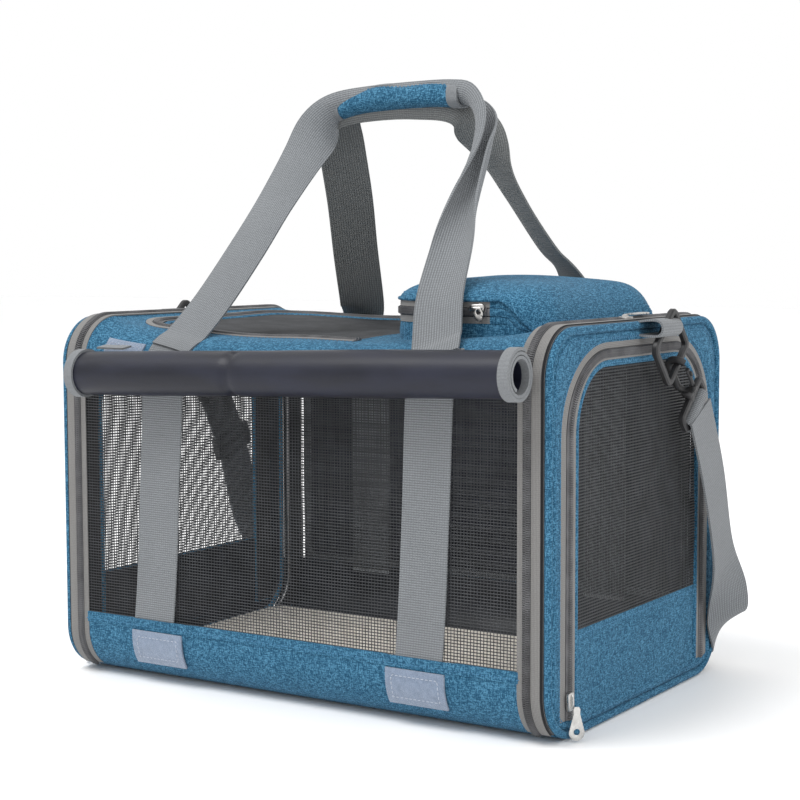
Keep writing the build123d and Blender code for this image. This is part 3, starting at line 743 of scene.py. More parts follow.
def teeth(shape, path, out, paint=1, lift=0.6):
    """Two rows of zip teeth that mesh along a path."""
    at = resample(np.hstack([path, np.broadcast_to(out, path.shape)]), TOOTH_PITCH / 2)
    places, facing = at[:, :3], unit(at[:, 3:])
    along = unit(np.gradient(places, axis=0))
    across = unit(np.cross(along, facing))
    points, faces = small_block(*TOOTH)
    for row, side in ((0, -1), (1, 1)):
        chosen = slice(row, None, 2)
        shape.repeat(
            points, faces, (places + facing * lift + across * side * TOOTH_APART)[chosen],
            across[chosen], along[chosen], facing[chosen], paint,
        )


def weave(shape, lines, facing, across=0.42, deep=0.3, paint=0):
    """Threads that lie along lines on a surface."""
    shape.threads(lines, facing, across, deep, paint)


# ---- shell ----
FACES = (("front", -1), ("back", 1))
ZIP_START = SIDE_AT - ARC * 0.62
HEM = 8
HEM_LIFT = 0.7
TUCK_LIFT = 2.1
TUCK_HALF = 25
TUCK_EDGE = 8
TUCK_FROM = 6
BAND_WAVE = 0.25
BASE_FLAT = 4
ZIP_LAP = 3


def lower_cloth():
    """Base and both lower bands in one cloth, with a stitched hem along each top edge."""
    shape = Shape()
    top = s_at(BAND_TOP)
    x = np.linspace(-ZIP_IN, ZIP_IN, 110)
    base = np.linspace(-FLAT_Y, FLAT_Y, 14)[1:-1]
    s = np.concatenate([np.linspace(-top, -FLAT_Y, 16), base, np.linspace(FLAT_Y, top, 16)])
    near = smooth((TUCK_HALF + TUCK_EDGE - np.abs(np.abs(x) - WEBBING_X)) / TUCK_EDGE)

    def tuck(s):
        """The band stands out where it passes over the webbing's foot."""
        height = smooth((np.abs(s) - SIDE_AT + TUCK_FROM) / (top - SIDE_AT + TUCK_FROM))
        return TUCK_LIFT * near[:, None] * height

    loose = BAND_WAVE * np.abs(ripple(x[:, None], s[None], 60, 11)) * (wrap(s)[1] > BASE_FLAT)
    shape.cloth(shell(x, s, tuck(s) + loose), 1.2)
    for side in (-1, 1):
        hem_s = ordered(side, side * np.linspace(top - HEM, top, 4))
        hem = shell(x, hem_s, HEM_LIFT + tuck(hem_s))
        shape.cloth(hem, 1.0, lining=0)
        middle = hem[:, 1] if side > 0 else hem[:, -2]
        stitches(shape, middle, (0, side, 0))
    for end in (-1, 1):
        strip_x = ordered(end, end * np.linspace(ZIP_IN, ZIP_OUT, 3))
        shape.cloth(shell(strip_x, np.linspace(-ZIP_START - ZIP_LAP, ZIP_START + ZIP_LAP, 30)), 1.2)
    nodes = ["bottom_panel", "front_lower_band", "back_lower_band"]
    piece("lower_cloth", shape, "carrier", nodes, SEWN)


def upper_cloth():
    """Front and back upper bands, from the windows round each top corner to the edge of the top."""
    for name, side in FACES:
        shape = Shape()
        x = np.linspace(-ZIP_IN, ZIP_IN, 100)
        foot = s_at(WINDOW_TOP)
        shape.cloth(shell(x, ordered(side, side * np.linspace(foot, TOP_AT + 0.6, 26)), 0.2))
        hem = shell(x, ordered(side, side * np.linspace(foot, foot + HEM, 4)), 0.9)
        shape.cloth(hem, 0.8, lining=0)
        stitches(shape, hem[:, 2 if side > 0 else 1], (0, side, 0))
        piece(f"{name}_upper_cloth", shape, "carrier", [f"{name}_upper_band"], SEWN)


THREAD_ACROSS = 2.6
THREAD_UP = 2.2


def side_windows():
    """Open mesh between the bands: upright and level threads that cross."""
    foot, top = s_at(BAND_TOP) - 2, s_at(WINDOW_TOP) + 2
    for name, side in FACES:
        shape = Shape()
        x = np.arange(-ZIP_IN + 0.5, ZIP_IN, THREAD_ACROSS)
        weave(shape, shell(x, side * np.linspace(foot, top, 14), -0.9), (0, side, 0), 0.34)
        s = side * np.arange(foot, top, THREAD_UP)
        level = shell(np.linspace(-ZIP_IN, ZIP_IN, 40), s, -0.6).transpose(1, 0, 2)
        weave(shape, level, (0, side, 0), 0.36)
        piece(f"{name}_window_weave", shape, "carrier", [f"{name}_mesh_window"], [MESH])


def top_hoop(off=0):
    """The top door's outline, open at its hinge by the pocket: places (x, y) and outward directions."""
    line, out = hoop(TOP_DOOR_HALF, TOP_HINGE - TOP_DOOR_LEFT, TOP_CORNER, off)
    return np.stack([TOP_HINGE - line[:, 1], line[:, 0]], 1), np.stack([-out[:, 1], out[:, 0]], 1)


def on_top(places, lift=0.0):
    """Points on the relaxed top from places (x, y)."""
    x, y = places[..., 0], places[..., 1]
    points = np.stack([x, y, np.full(x.shape, float(HEIGHT))], -1)
    points = relax(points)
    points[..., 2] += lift
    return points


def top_cloth():
    """The top round the door's opening, and under the pocket."""
    shape = Shape()
    outer = rectangle(-ZIP_IN, ZIP_IN, -FLAT_Y, FLAT_Y)
    line, _ = top_hoop(TOP_ZIP)
    seam = np.stack([np.full(20, TOP_HINGE), np.linspace(line[-1, 1], line[0, 1], 22)[1:-1]], 1)
    inner = np.concatenate([line, seam])
    centre = np.array([(TOP_HINGE + TOP_DOOR_LEFT) / 2, 0])
    surface = on_top(fan(outer, inner, centre, 16), 0.2)
    shape.cloth(surface, wrap_u=True)
    edge, _ = top_hoop(TOP_ZIP + 2.5)
    stitches(shape, on_top(edge, 0.25), (0, 0, 1))
    piece("top_cloth", shape, "carrier", ["top_panel"], SEWN)


def banded(make, columns):
    """Points and paints for a strip. columns lists (place, lift, paint of the column before it)."""
    points = np.stack([make(place, lift) for place, lift, _ in columns], 1)
    return points, [paint for _, _, paint in columns[1:]]


def top_zip():
    """The zip round the top door: light tape, black line, teeth, and the tape under and inside the teeth
    darkened as painted shade.
    """
    shape = Shape()
    # Paint 1 is the zip tape darkened as painted shade, from the black line inwards.
    columns = [
        (TOP_ZIP + 1, 0.9, 0), (TOP_ZIP - 4, 1.1, 0), (TOP_ZIP - 4.2, 0.5, 3), (TOP_ZIP - 5, 0.5, 3),
        (TOP_ZIP - 5.2, 0.9, 1), (TOP_ZIP - 7.4, 1.5, 1), (TOP_ZIP - 9.6, 0.9, 1), (0.4, 0.6, 1),
    ]
    points, paints = banded(lambda off, lift: on_top(top_hoop(off)[0], lift), columns)
    shape.cloth(points[:, ::-1], 0.8, paint=paints[::-1], lining=3)
    teeth(shape, on_top(top_hoop(TOP_ZIP - 7.4)[0], 1.2), (0, 0, 1), 2, 0.5)
    piece("top_zip_tape", shape, "carrier", ["top_door_zip"], ZIP_PAINTS[:4])


def hinged(obj):
    """Keeps the top door's cloth where it was made, on the top at its seam."""
    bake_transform(obj)


def top_door():
    """The top door: mesh in a narrow binding, hinged beside the pocket."""
    frame_shape = Shape()
    path, _ = top_hoop(-2.6)
    path = path[path[:, 0] < TOP_DOOR_RIGHT]
    line = on_top(path, -0.6)
    frame_shape.tube(line, oval(2.7, 1.1, 10), (0, 0, 1))
    seam_y = np.linspace(1 - TOP_DOOR_HALF, TOP_DOOR_HALF - 1, 30)
    seam = np.stack([np.full(30, TOP_DOOR_RIGHT - 2.4), seam_y], 1)
    frame_shape.tube(on_top(seam, -0.8), oval(2.4, 1.0, 10), (0, 0, 1))
    stitches(frame_shape, on_top(path, 0.4), (0, 0, 1), 1)
    hinged(piece("top_door_edge", frame_shape, None, ["top_door_binding"], [BLUE, THREAD]))
    net = Shape()
    half, left = TOP_DOOR_HALF - 3, TOP_DOOR_LEFT + 3
    share = np.linspace(0, 1, 16)

    x = np.arange(left + 1, TOP_DOOR_RIGHT - 2, THREAD_ACROSS)
    reach = half - corner_bite(left + TOP_CORNER - x, TOP_CORNER)
    y = reach[:, None] * (2 * share - 1)
    crosswise = np.stack([np.broadcast_to(x[:, None], y.shape), y], -1)
    weave(net, on_top(crosswise, -1.0), (0, 0, 1), 0.5)
    y = np.arange(-half + 1, half, THREAD_UP)
    start = left + corner_bite(np.abs(y) - half + TOP_CORNER, TOP_CORNER)
    x_line = start[:, None] + (TOP_DOOR_RIGHT - 2 - start)[:, None] * share
    lengthwise = np.stack([x_line, np.broadcast_to(y[:, None], x_line.shape)], -1)
    weave(net, on_top(lengthwise, -0.7), (0, 0, 1))
    hinged(piece("top_door_weave", net, None, ["top_door_mesh"], [MESH]))


# ---- ends: zips, piping, panels, doors ----
PIPING = 2.9
END_TEETH_X = (ZIP_IN + ZIP_OUT) / 2 - 2


def over_the_top(count=210):
    """Distances round the shell from the front of the base, up and over to the back of it."""
    run = np.linspace(-(CROWN_AT - ZIP_START), CROWN_AT - ZIP_START, count)
    return np.where(run < 0, -(CROWN_AT + run), CROWN_AT - run)


def end_zips():
    """The zip strips that let the ends fold: tape, coil with teeth, and tape, with black lines between."""
    shape = Shape()
    s = over_the_top()
    columns = [
        (ZIP_IN - 1, 0.5, 0), (ZIP_IN + 3.4, 0.9, 0), (ZIP_IN + 3.5, 0.5, 3), (ZIP_IN + 3.8, 0.5, 3),
        (ZIP_IN + 3.9, 1.1, 2), (END_TEETH_X, 1.9, 2), (ZIP_IN + 9.2, 1.1, 2), (ZIP_IN + 9.3, 0.5, 3),
        (ZIP_IN + 9.6, 0.5, 3), (ZIP_IN + 9.7, 1.2, 0), (ZIP_IN + 16.8, 1.3, 0),
        (ZIP_IN + 16.9, 0.4, 3), (ZIP_OUT + 1.6, 0.2, 3),
    ]
    points, paints = banded(lambda x, lift: above(x, s, lift), columns)
    shape.cloth(points, 1.0, paint=paints, lining=3)
    teeth(shape, above(END_TEETH_X, s, 1.6), outwards(s), 4, 0.4)
    at_both_ends("{}_zip_strip", shape, "carrier", ["{}_end_zip"], ZIP_PAINTS)


def around(inset, count=240):
    """The end outline as a closed line (y, z), moved inwards."""
    s = np.linspace(-CROWN_AT, CROWN_AT, count, endpoint=False)
    y, z, ny, nz = wrap(s)
    return np.stack([y - ny * inset, z - nz * inset], 1)


def piping():
    """The corded seam round each end, with the lip of cloth that it is sewn in."""
    shape = Shape()
    path = on_end(around(PIPING), HALF_X - PIPING - 0.4)
    shape.tube(path, oval(PIPING, PIPING, 14), (1, 0, 0), closed=True)
    lip = on_end(around(2 * PIPING - 0.6), HALF_X - 4.5)
    under = on_end(around(2.2), ZIP_OUT + 0.6)
    shape.grid(np.stack([under, lip]), wrap_u=True, paint=1)
    at_both_ends("{}_piping_cord", shape, "carrier", ["{}_end_piping"], [BLUE, LINING])


HEAD_SHARE = 0.65


def door_hoop(off=0):
    """The end door's arch as places (y, z). Strips round it are narrower over its head."""
    line, out = hoop(DOOR_HALF, DOOR_TOP - DOOR_FOOT, DOOR_SHOULDER)
    return line + (0, DOOR_FOOT) + out * off * (1, HEAD_SHARE)


def end_panels():
    """The fabric of each end, between the piping and the door's zip, slightly full with small puckers."""
    shape = Shape()
    arch = door_hoop(DOOR_ZIP)
    sill = np.stack([np.linspace(arch[-1, 0], arch[0, 0], 40)[1:-1], np.full(38, arch[0, 1])], 1)
    centre = np.array([0.0, HEIGHT / 2])
    rows = fan(around(2 * PIPING - 0.3), np.concatenate([arch, sill]), centre, 9)
    share = np.linspace(1, 0, 9)[:, None]
    full = np.sin(math.pi * share) * (0.9 + 0.5 * ripple(rows[..., 0], rows[..., 1], 46, 21))
    x = END_X - 0.9 + full - 1.2 * smooth((share - 0.75) / 0.25)
    shape.cloth(on_end(rows, x), wrap_u=True)
    stitches(shape, on_end(door_hoop(DOOR_ZIP + 3.2), END_X + 0.1), (1, 0, 0))
    stitches(shape, on_end(around(2 * PIPING + 4), END_X - 0.2), (1, 0, 0))
    at_both_ends("{}_end_cloth", shape, "carrier", ["{}_end_panel"], SEWN)


TEETH_OFF = 7.8


def door_zips():
    """The arched zip round each end door."""
    shape = Shape()
    columns = [
        (DOOR_ZIP + 1.5, -0.6, 0), (DOOR_ZIP - 6.6, -0.2, 0), (DOOR_ZIP - 6.7, -0.8, 3),
        (DOOR_ZIP - 7.1, -0.8, 3), (DOOR_ZIP - 7.2, 0.2, 2), (TEETH_OFF, 0.9, 2), (3.9, 0.2, 2),
        (3.8, -0.6, 3), (3.4, -0.6, 3), (3.3, 0.1, 0), (-0.4, 0.2, 0),
    ]
    points, paints = banded(lambda off, lift: on_end(door_hoop(off), END_X - 0.4 + lift), columns)
    shape.cloth(points[:, ::-1], 1.0, paint=paints[::-1], lining=3)
    teeth(shape, on_end(door_hoop(TEETH_OFF), END_X + 0.3), (1, 0, 0), 4, 0.4)
    at_both_ends("{}_door_tape", shape, "carrier", ["{}_door_zip"], ZIP_PAINTS)


BINDING_HALF = 2.6


def doors():
    """Each end door: narrow blue binding, mesh above and a fabric panel at the foot."""
    edge = Shape()
    line = door_hoop(-BINDING_HALF)
    edge.tube(on_end(line, END_X - 1.0), oval(BINDING_HALF, 1.3, 10), (1, 0, 0))
    stitches(edge, on_end(line, END_X + 0.2), (1, 0, 0), 1)
    at_both_ends("{}_door_edge", edge, "{}_door", ["{}_door_binding"], [BLUE, THREAD])

    foot = Shape()
    half = DOOR_HALF - 2 * BINDING_HALF
    y = np.linspace(-half - 1, half + 1, 50)
    z = np.linspace(low("right_door_panel", Z) - 2.8, DOOR_PANEL_TOP, 14)
    grid_y, grid_z = np.meshgrid(y, z)
    x = END_X - 1.2 + 0.5 * ripple(grid_y, grid_z, 55, 31)
    foot.cloth(np.stack([x, grid_y, grid_z], -1))
    level = DOOR_PANEL_TOP + np.array([[-7], [-3], [1]])
    hem = np.stack(np.broadcast_arrays(END_X - 0.3, y, level), -1)
    foot.cloth(hem, 0.9, lining=0)
    stitches(foot, hem[1], (1, 0, 0))
    at_both_ends("{}_door_foot", foot, "{}_door", ["{}_door_panel"], SEWN)

    net = Shape()
    share = np.linspace(0, 1, 16)
    corner, top = DOOR_SHOULDER - BINDING_HALF, DOOR_TOP - BINDING_HALF
    reach = DOOR_HALF - BINDING_HALF

    def x_at(a, b):
        up = np.clip((b - DOOR_PANEL_TOP) / (top - DOOR_PANEL_TOP), 0, 1)
        return END_X - 1.3 + 0.7 * ripple(a, b, 90, 41) * np.sin(math.pi * up)

    y = np.arange(-reach + 1, reach, THREAD_ACROSS)
    head = top - corner_bite(np.abs(y) - reach + corner, corner)
    z = DOOR_PANEL_TOP - 2 + (head - DOOR_PANEL_TOP + 2)[:, None] * share
    a = np.broadcast_to(y[:, None], z.shape)
    weave(net, np.stack([x_at(a, z), a, z], -1), (1, 0, 0))
    z = np.arange(DOOR_PANEL_TOP - 1, top, THREAD_UP)
    wide = reach - corner_bite(z - top + corner, corner)
    a = wide[:, None] * (2 * share - 1)
    b = np.broadcast_to(z[:, None], a.shape)
    weave(net, np.stack([x_at(a, b) + 0.3, a, b], -1), (1, 0, 0), 0.5)
    at_both_ends("{}_door_weave", net, "{}_door", ["{}_door_mesh"], [MESH])


# ---- pocket ----
POCKET_MID = (POCKET_LEFT + POCKET_RIGHT) / 2
POCKET_REACH = (POCKET_RIGHT - POCKET_LEFT) / 2
RIM = 296
BAND_FOOT = 280
RIM_FALL = 26
FALL_FROM = 150
DOME_EDGE = 44
DOME_CROWN = POCKET_TOP - 1.5
DOME_PEAK = -14
DOME_FALL_X = 5.0
DOME_FALL_Y = 2.5
GUSSET_FROM = 141
BAND_STEPS = (
    (0.0, 0.8), (0.3, 0.9), (0.31, 0.4), (0.34, 0.4), (0.35, 0.9), (0.52, 1.5),
    (0.68, 0.9), (0.69, 0.4), (0.72, 0.4), (0.73, 0.9), (1.0, 0.6),
)


def pocket_line(off=0, count=220):
    line = ring(POCKET_REACH, POCKET_HALF, POCKET_CORNER, off, 14, POCKET_LEFT_CORNER) + (POCKET_MID, 0)
    return resample(line, count=count, wrap=True)


def rim_height(x):
    return RIM - RIM_FALL * smooth((x - FALL_FROM) / (POCKET_RIGHT - FALL_FROM))


def pocket():
    """The pocket on the top: blue wall, zip band, and a domed lid that falls away at its right-hand end."""
    line = pocket_line(-0.6)
    x, y = line[:, 0], line[:, 1]
    foot = on_top(line, -1.5)[:, 2]
    rim = rim_height(x)
    band = np.minimum(rim - 14, BAND_FOOT)
    band = np.maximum(band, foot + 0.4)
    gusset = x > GUSSET_FROM

    def rows(levels):
        """Closed rows at levels (height, how far the cloth stands out)."""
        made = [np.stack([x + (x - POCKET_MID) * o / 90, y * (1 + o / 90), z], 1) for z, o in levels]
        return np.stack(made)

    wall = Shape()
    waist = (foot + band) / 2
    swell = 0.8 + 0.6 * ripple(x, y, 60, 51)
    levels = [
        (foot, 0.6), ((foot + waist) / 2, swell), (waist, swell * 1.3),
        ((waist + band) / 2, swell), (band + 0.5, 0.3),
    ]
    wall.cloth(rows(levels), 1.0, wrap_u=True)
    piece("pocket_side", wall, "carrier", ["pocket_wall"], [BLUE, LINING])

    tape = Shape()
    high_ = rim - 0.6
    levels = [(band + (high_ - band) * t, o) for t, o in BAND_STEPS]
    points = rows(levels)
    tape.grid(points, wrap_u=True)
    paints = np.array([0, 2, 2, 1, 1, 1, 1, 2, 2, 0])
    tape.paints[0] = np.where(np.tile(gusset, len(paints)), 3, np.repeat(paints, len(x)))
    inner = points.copy()
    inner[..., 0] -= (inner[..., 0] - POCKET_MID) * 0.02
    inner[..., 1] *= 0.98
    tape.grid(inner, wrap_u=True, paint=2, flip=True)
    order = np.where(~gusset)[0]
    breaks = np.where(np.diff(order) > 1)[0]
    run = np.concatenate([order[breaks[0] + 1:], order[: breaks[0] + 1]]) if len(breaks) else order
    path = rows([(band + (high_ - band) * 0.52, 1.3)])[0][run]
    out = unit(np.stack([path[:, 0] - POCKET_MID, path[:, 1] * 0.75, np.zeros(len(path))], 1))
    teeth(tape, path, out, 1, 0.5)
    piece("pocket_tape", tape, "carrier", ["pocket_zip"], [TAPE, COIL, BLACK_TAPE, BLUE])

    lid = Shape()
    outline = pocket_line(0.6)
    shares = 1 - np.linspace(0, 1, 26) ** 1.6
    centre = (POCKET_MID, 0)
    places = np.stack([(outline - centre) * share + centre for share in np.maximum(shares, 0.004)])
    px, py = places[..., 0], places[..., 1]
    far = np.linalg.norm(outline - centre, axis=1)
    inside = (1 - shares)[:, None] * far[None]
    edge = np.where(np.abs(outline[:, 0] - POCKET_MID) > POCKET_REACH - 6, DOME_EDGE, DOME_EDGE * 0.8)
    curve = np.sqrt(np.clip(1 - (1 - np.clip(inside / edge[None], 0, 1)) ** 2, 0, 1))
    fall = DOME_FALL_X * ((px - POCKET_MID - DOME_PEAK) / POCKET_REACH) ** 2
    crown = DOME_CROWN - fall - DOME_FALL_Y * (py / POCKET_HALF) ** 2
    z = rim_height(px) + (np.maximum(crown, rim_height(px)) - rim_height(px)) * curve
    z = z + 0.5 * curve * ripple(px, py, 70, 61)
    surface = np.stack([px, py, z], -1)
    lid.cloth(surface, 1.0, wrap_u=True)
    lip = pocket_line(0.9)
    lip_z = rim_height(lip[:, 0])
    cord = np.stack([lip[:, 0], lip[:, 1], lip_z + 0.4], 1)
    lid.tube(cord, oval(1.3, 1.3, 8), (0, 0, 1), closed=True)
    stitches(lid, surface[3], unit(np.cross(step(surface, 1, True), step(surface, 0)))[3])
    piece("pocket_cloth", lid, "pocket_lid", ["pocket_lid"], SEWN)


# ---- webbing and handles ----
OUT = np.array([1.0, 0, 0])
BACK = np.array([0, 1.0, 0])
UP = np.array([0, 0, 1.0])


def ribbon(shape, path, wide, half, thick=1.6, curl=None, paint=0, columns=13):
    """Flat webbing along a path. wide is the direction across it, and curl its roll in radians."""
    path = np.asarray(path, float)
    along = unit(np.gradient(path, axis=0))
    wide = unit(wide - along * (wide * along).sum(-1, keepdims=True))
    face = np.cross(along, wide)
    w = np.linspace(-half, half, columns)
    turn = np.maximum(np.zeros(len(path)) if curl is None else np.asarray(curl, float), 1e-3)
    radius = 2 * half / turn
    angle = w[None] / radius[:, None]
    across = radius[:, None] * np.sin(angle)
    rise = radius[:, None] * (1 - np.cos(angle))
    rise = rise - rise.mean(1, keepdims=True)
    points = path[:, None] + across[..., None] * wide[:, None] + rise[..., None] * face[:, None]
    shape.cloth(points, thick, paint=paint, lining=paint)
    return points


def curve(points, count=60):
    """A smooth line through a few chosen points, by Catmull-Rom."""
    points = np.asarray(points, float)
    padded = np.vstack([2 * points[0] - points[1], points, 2 * points[-1] - points[-2]])
    line = []
    for k in range(1, len(padded) - 2):
        a, b, c, d = padded[k - 1: k + 3]
        t = np.linspace(0, 1, 14, endpoint=False)[:, None]
        second, third = 2 * a - 5 * b + 4 * c - d, 3 * b - a - 3 * c + d
        line.append(0.5 * (2 * b + (c - a) * t + second * t**2 + third * t**3))
    return resample(np.vstack(line + [points[-1:]]), count=count)


WEBBING_TURN = 0.92
WEBBING_SHIFT = ((-9, 3), (-1, 8))


def sewn_webbing():
    """The webbing sewn up each side, tucked under the lower band."""
    for name, side in FACES:
        shape = Shape()
        for place in (-WEBBING_X, WEBBING_X):
            s = ordered(side, side * np.linspace(s_at(BAND_TOP - 6), SHOULDER_AT + CORNER * WEBBING_TURN, 60))
            z = wrap(s)[1]
            foot, head = WEBBING_SHIFT[place > 0]
            shift = foot + (head - foot) * np.clip((z - BAND_TOP) / (HEIGHT - CORNER - BAND_TOP), 0, 1) ** 0.8
            x = place + np.linspace(-WEBBING / 2, WEBBING / 2, 11)[:, None] + shift * (side < 0)
            shape.cloth(relax(above(x, s, 1.5)), 1.3, lining=0)
        piece(f"{name}_sewn_webbing", shape, "carrier", [f"{name}_webbing"], [WEB])


FRONT_FOOT = (-115, 267)
FRONT_RIDGE = (2, 449)
BACK_FOOT = (118, 272)
BACK_RIDGE = (6, 444)
FRONT_LOOP = [
    (122, -18, 12.8, 0, 0.1), (119, -9, 9.4, 0, 0.1), (115, 0, 5.0, 0, 0.2), (106, 34, 4, 0, 0.5),
    (102, 76, 2, 0, 1.4), (98, 119, 0, 10, 3.6), (96, 163, 0, 40, 5.2), (90, 190, 0, 75, 4.4),
    (75, 209, 0, 90, 3.4), (56, 214, 0, 90, 3.4), (20, 214, 0, 90, 3.4), (-20, 212, 0, 90, 3.4),
    (-46, 207, 0, 90, 3.0), (-58, 190, 0, 50, 1.4), (-65, 166, 0, 15, 0.6), (-76, 122, 0, 0, 0.4),
    (-87, 76, 0, 0, 0.3), (-99, 31, 1, 0, 0.2), (-108, 0, 4.5, 0, 0.1), (-110, -9, 9.2, 0, 0.1),
    (-112, -18, 12.6, 0, 0.1),
]
BACK_LOOP = [
    (115, -14, 10.2, 0, 0.1), (114, -6, 7.2, 0, 0.1), (112, 4, 3.6, -5, 0.2), (104, 46, 3, -30, 0.4),
    (93, 70, 0, -33, 0.5), (78, 116, 0, -33, 0.5), (70, 150, 0, -20, 0.6), (66, 180, 0, 40, 1.5),
    (56, 198, 0, 90, 3.0), (20, 204, 0, 90, 3.4), (-20, 204, 0, 90, 3.4), (-50, 200, 0, 90, 3.0),
    (-60, 186, 0, 60, 1.2), (-65, 166, 0, 40, 0.5), (-75, 119, 0, 35, 0.3), (-88, 70, 0, 35, 0.3),
    (-100, 20, 0, 25, 0.2), (-107, 4, 3.6, 8, 0.1), (-112, -6, 7.2, 0, 0.1), (-115, -14, 10.2, 0, 0.1),
]


def handles():
    """Two webbing loops that meet in the grip. Each leg turns edge-on and curls on its way up."""
    for name, side, foot, ridge, loop, paint in (
        ("front", -1, FRONT_FOOT, FRONT_RIDGE, FRONT_LOOP, WEB),
        # The back handle's webbing is darkened as painted shade.
        ("back", 1, BACK_FOOT, BACK_RIDGE, BACK_LOOP, WEB_PAINTED_SHADE),
    ):
        flat = curve(loop, 170)
        start = np.array([0, *foot], float)
        e_v = unit(np.array([0, *ridge], float) - start)
        e_n = np.array([0, side * e_v[2], -side * e_v[1]])
        path = start + flat[:, :1] * OUT + flat[:, 1:2] * e_v + flat[:, 2:3] * e_n
        turned = np.radians(flat[:, 3])
        along = unit(np.gradient(path, axis=0))
        flatwise = unit(np.cross(np.broadcast_to(e_n, path.shape), along)) * np.where(flat[:, :1] > 0, 1, -1)
        wide = flatwise * np.cos(turned)[:, None] + e_n * np.sin(turned)[:, None]
        shape = Shape()
        ribbon(shape, path, wide, WEBBING / 2, 1.7, flat[:, 4])
        made = piece(f"{name}_handle_webbing", shape, None, [f"{name}_handle"], [paint])
        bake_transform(made)


GRIP_X = 8
GRIP_HALF = high("grip_binding", X) + 2
GRIP_TOP = high("grip_wrap", Z) + 0.6
GRIP_Y = 2.5
GRIP_DEEP = 12.5
GRIP_TALL = 9.8
GRIP_SQUARE = 0.8
LEFT_FALL = 7
RIGHT_FALL = 1
LEFT_BINDING = 4
RIGHT_BINDING = 9


def grip():
    """The padded wrap round both handles, with a binding at each end and along its opening."""

    def form(x, grow=0.0):
        turn = np.linspace(0, 2 * math.pi, 40, endpoint=False)
        cos, sin = np.cos(turn), np.sin(turn)
        share = np.clip((x - GRIP_X) / GRIP_HALF, -1, 1)
        full = 1 - 0.10 * share**4
        fall = np.where(share < 0, LEFT_FALL, RIGHT_FALL) * share**2
        swell = 0.6 * ripple(x[:, None], 14 * turn[None], 30, 71)
        a = (GRIP_DEEP + grow) * full[:, None] + swell
        b = (GRIP_TALL + grow) * full[:, None] + swell
        y = GRIP_Y + a * np.sign(cos) * np.abs(cos) ** GRIP_SQUARE
        z = GRIP_TOP - GRIP_TALL - fall[:, None] + b * np.sign(sin) * np.abs(sin) ** GRIP_SQUARE
        return np.stack([np.broadcast_to(x[:, None], y.shape), y, z], -1)

    wrap_shape = Shape()
    start, end = GRIP_X - GRIP_HALF, GRIP_X + GRIP_HALF
    x = np.linspace(start + LEFT_BINDING - 1, end - RIGHT_BINDING + 1, 60)
    wrap_shape.cloth(form(x), 1.6, wrap_u=True)
    stitches(wrap_shape, form(x)[:, 15] + (0, 0, 0.2), (0, -0.6, 0.8))
    made = piece("grip_cloth", wrap_shape, "front_handle", ["grip_wrap"], SEWN)
    edge = Shape()
    edge.cloth(form(np.linspace(start, start + LEFT_BINDING, 5), 0.6), 2.2, wrap_u=True, lining=0)
    edge.cloth(form(np.linspace(end - RIGHT_BINDING, end, 8), 0.6), 2.2, wrap_u=True, lining=0)
    strip = form(np.linspace(start + 2, end - 2, 50), 0.5)[:, 11:15]
    edge.cloth(strip + (0, -0.2, 0.4), 1.0, lining=0)
    piece("grip_edge", edge, "front_handle", ["grip_binding"], [BINDING])


# ---- rolled front cover, its tabs and the patches ----
TURNS = 2.5
ROLL_PITCH = 3.0
ROLL_CLOTH = 1.2
ROLL_TILT = 6
ROLL_DROP = -2
CREASE_X = -25
CREASE_WIDE = 3.0
CREASE_DEEP = 1.6
CREASE_TURN = 3.4


def spiral(extra=0.0, count=150):
    """The roll's section: (y, z) from its open outer edge to its middle."""
    t = np.linspace(0, TURNS * 2 * math.pi, count)
    r = ROLL_RADIUS - 0.5 + extra - ROLL_PITCH * t / (2 * math.pi)
    turn = 0.35 * math.pi + t
    return r, turn


def rolled(x, extra, thick, shape, paint=0, lining=1):
    r, turn = spiral(extra)
    wave = 0.5 * ripple(x[:, None], 6 * turn[None], 110, 81)
    near = np.exp(-(((x[:, None] - CREASE_X) / CREASE_WIDE) ** 2))
    crease = -CREASE_DEEP * near * (np.cos(turn[None] - CREASE_TURN) > 0)
    reach = r[None] + wave + crease
    y = ROLL_Y + reach * np.cos(turn)[None]
    z = ROLL_Z + reach * np.sin(turn)[None] + ROLL_DROP + ROLL_TILT * (x[:, None] - ROLL_X) / ROLL_HALF
    points = np.stack([np.broadcast_to(x[:, None], y.shape), y, z], -1)
    shape.cloth(points[:, ::-1], thick, paint=paint, lining=lining)


def roll():
    shape = Shape()
    rolled(ROLL_X + np.linspace(-ROLL_HALF - 1, ROLL_HALF + 1, 90), -0.4, ROLL_CLOTH, shape)
    paints = [SATIN, SATIN]
    cover = piece("front_cover_cloth", shape, "front_cover", ["front_cover_roll"], paints)
    edge = Shape()
    for side in (-1, 1):
        x = ROLL_X + np.sort(side * np.linspace(ROLL_HALF - 1, ROLL_END - 0.4, 6))
        rolled(x, 0.5, 2.2, edge, lining=0)
    hem = piece("front_cover_edge", edge, "front_cover", ["front_cover_binding"], [BINDING])
    tabs = Shape()
    tab_z = middle("front_cover_tabs", Z)
    for side in (-1, 1):
        x = side * (high("front_cover_tabs", X) - 15) + np.linspace(-13, 13, 8)
        y = np.linspace(low("front_cover_tabs", Y) - 1, high("front_cover_tabs", Y), 8)
        gx, gy = np.meshgrid(x, y)
        tabs.cloth(np.stack([gx, gy, tab_z + 2 + 0.15 * (gy - y[0])], -1), 1.4, lining=0)
    piece("front_cover_ties", tabs, "front_cover", ["front_cover_tabs"], [BINDING])


PATCH_LIFT = 1.7
TOP_PATCH_X = 155
LOW_PATCH_X = 121
LOW_PATCH_HALF = 24
TOP_PATCH_HALF = 18
LOW_PATCH = (16, 41)
RIGHT_PATCH_SHIFT = -10
TOP_PATCH = (250, 269)


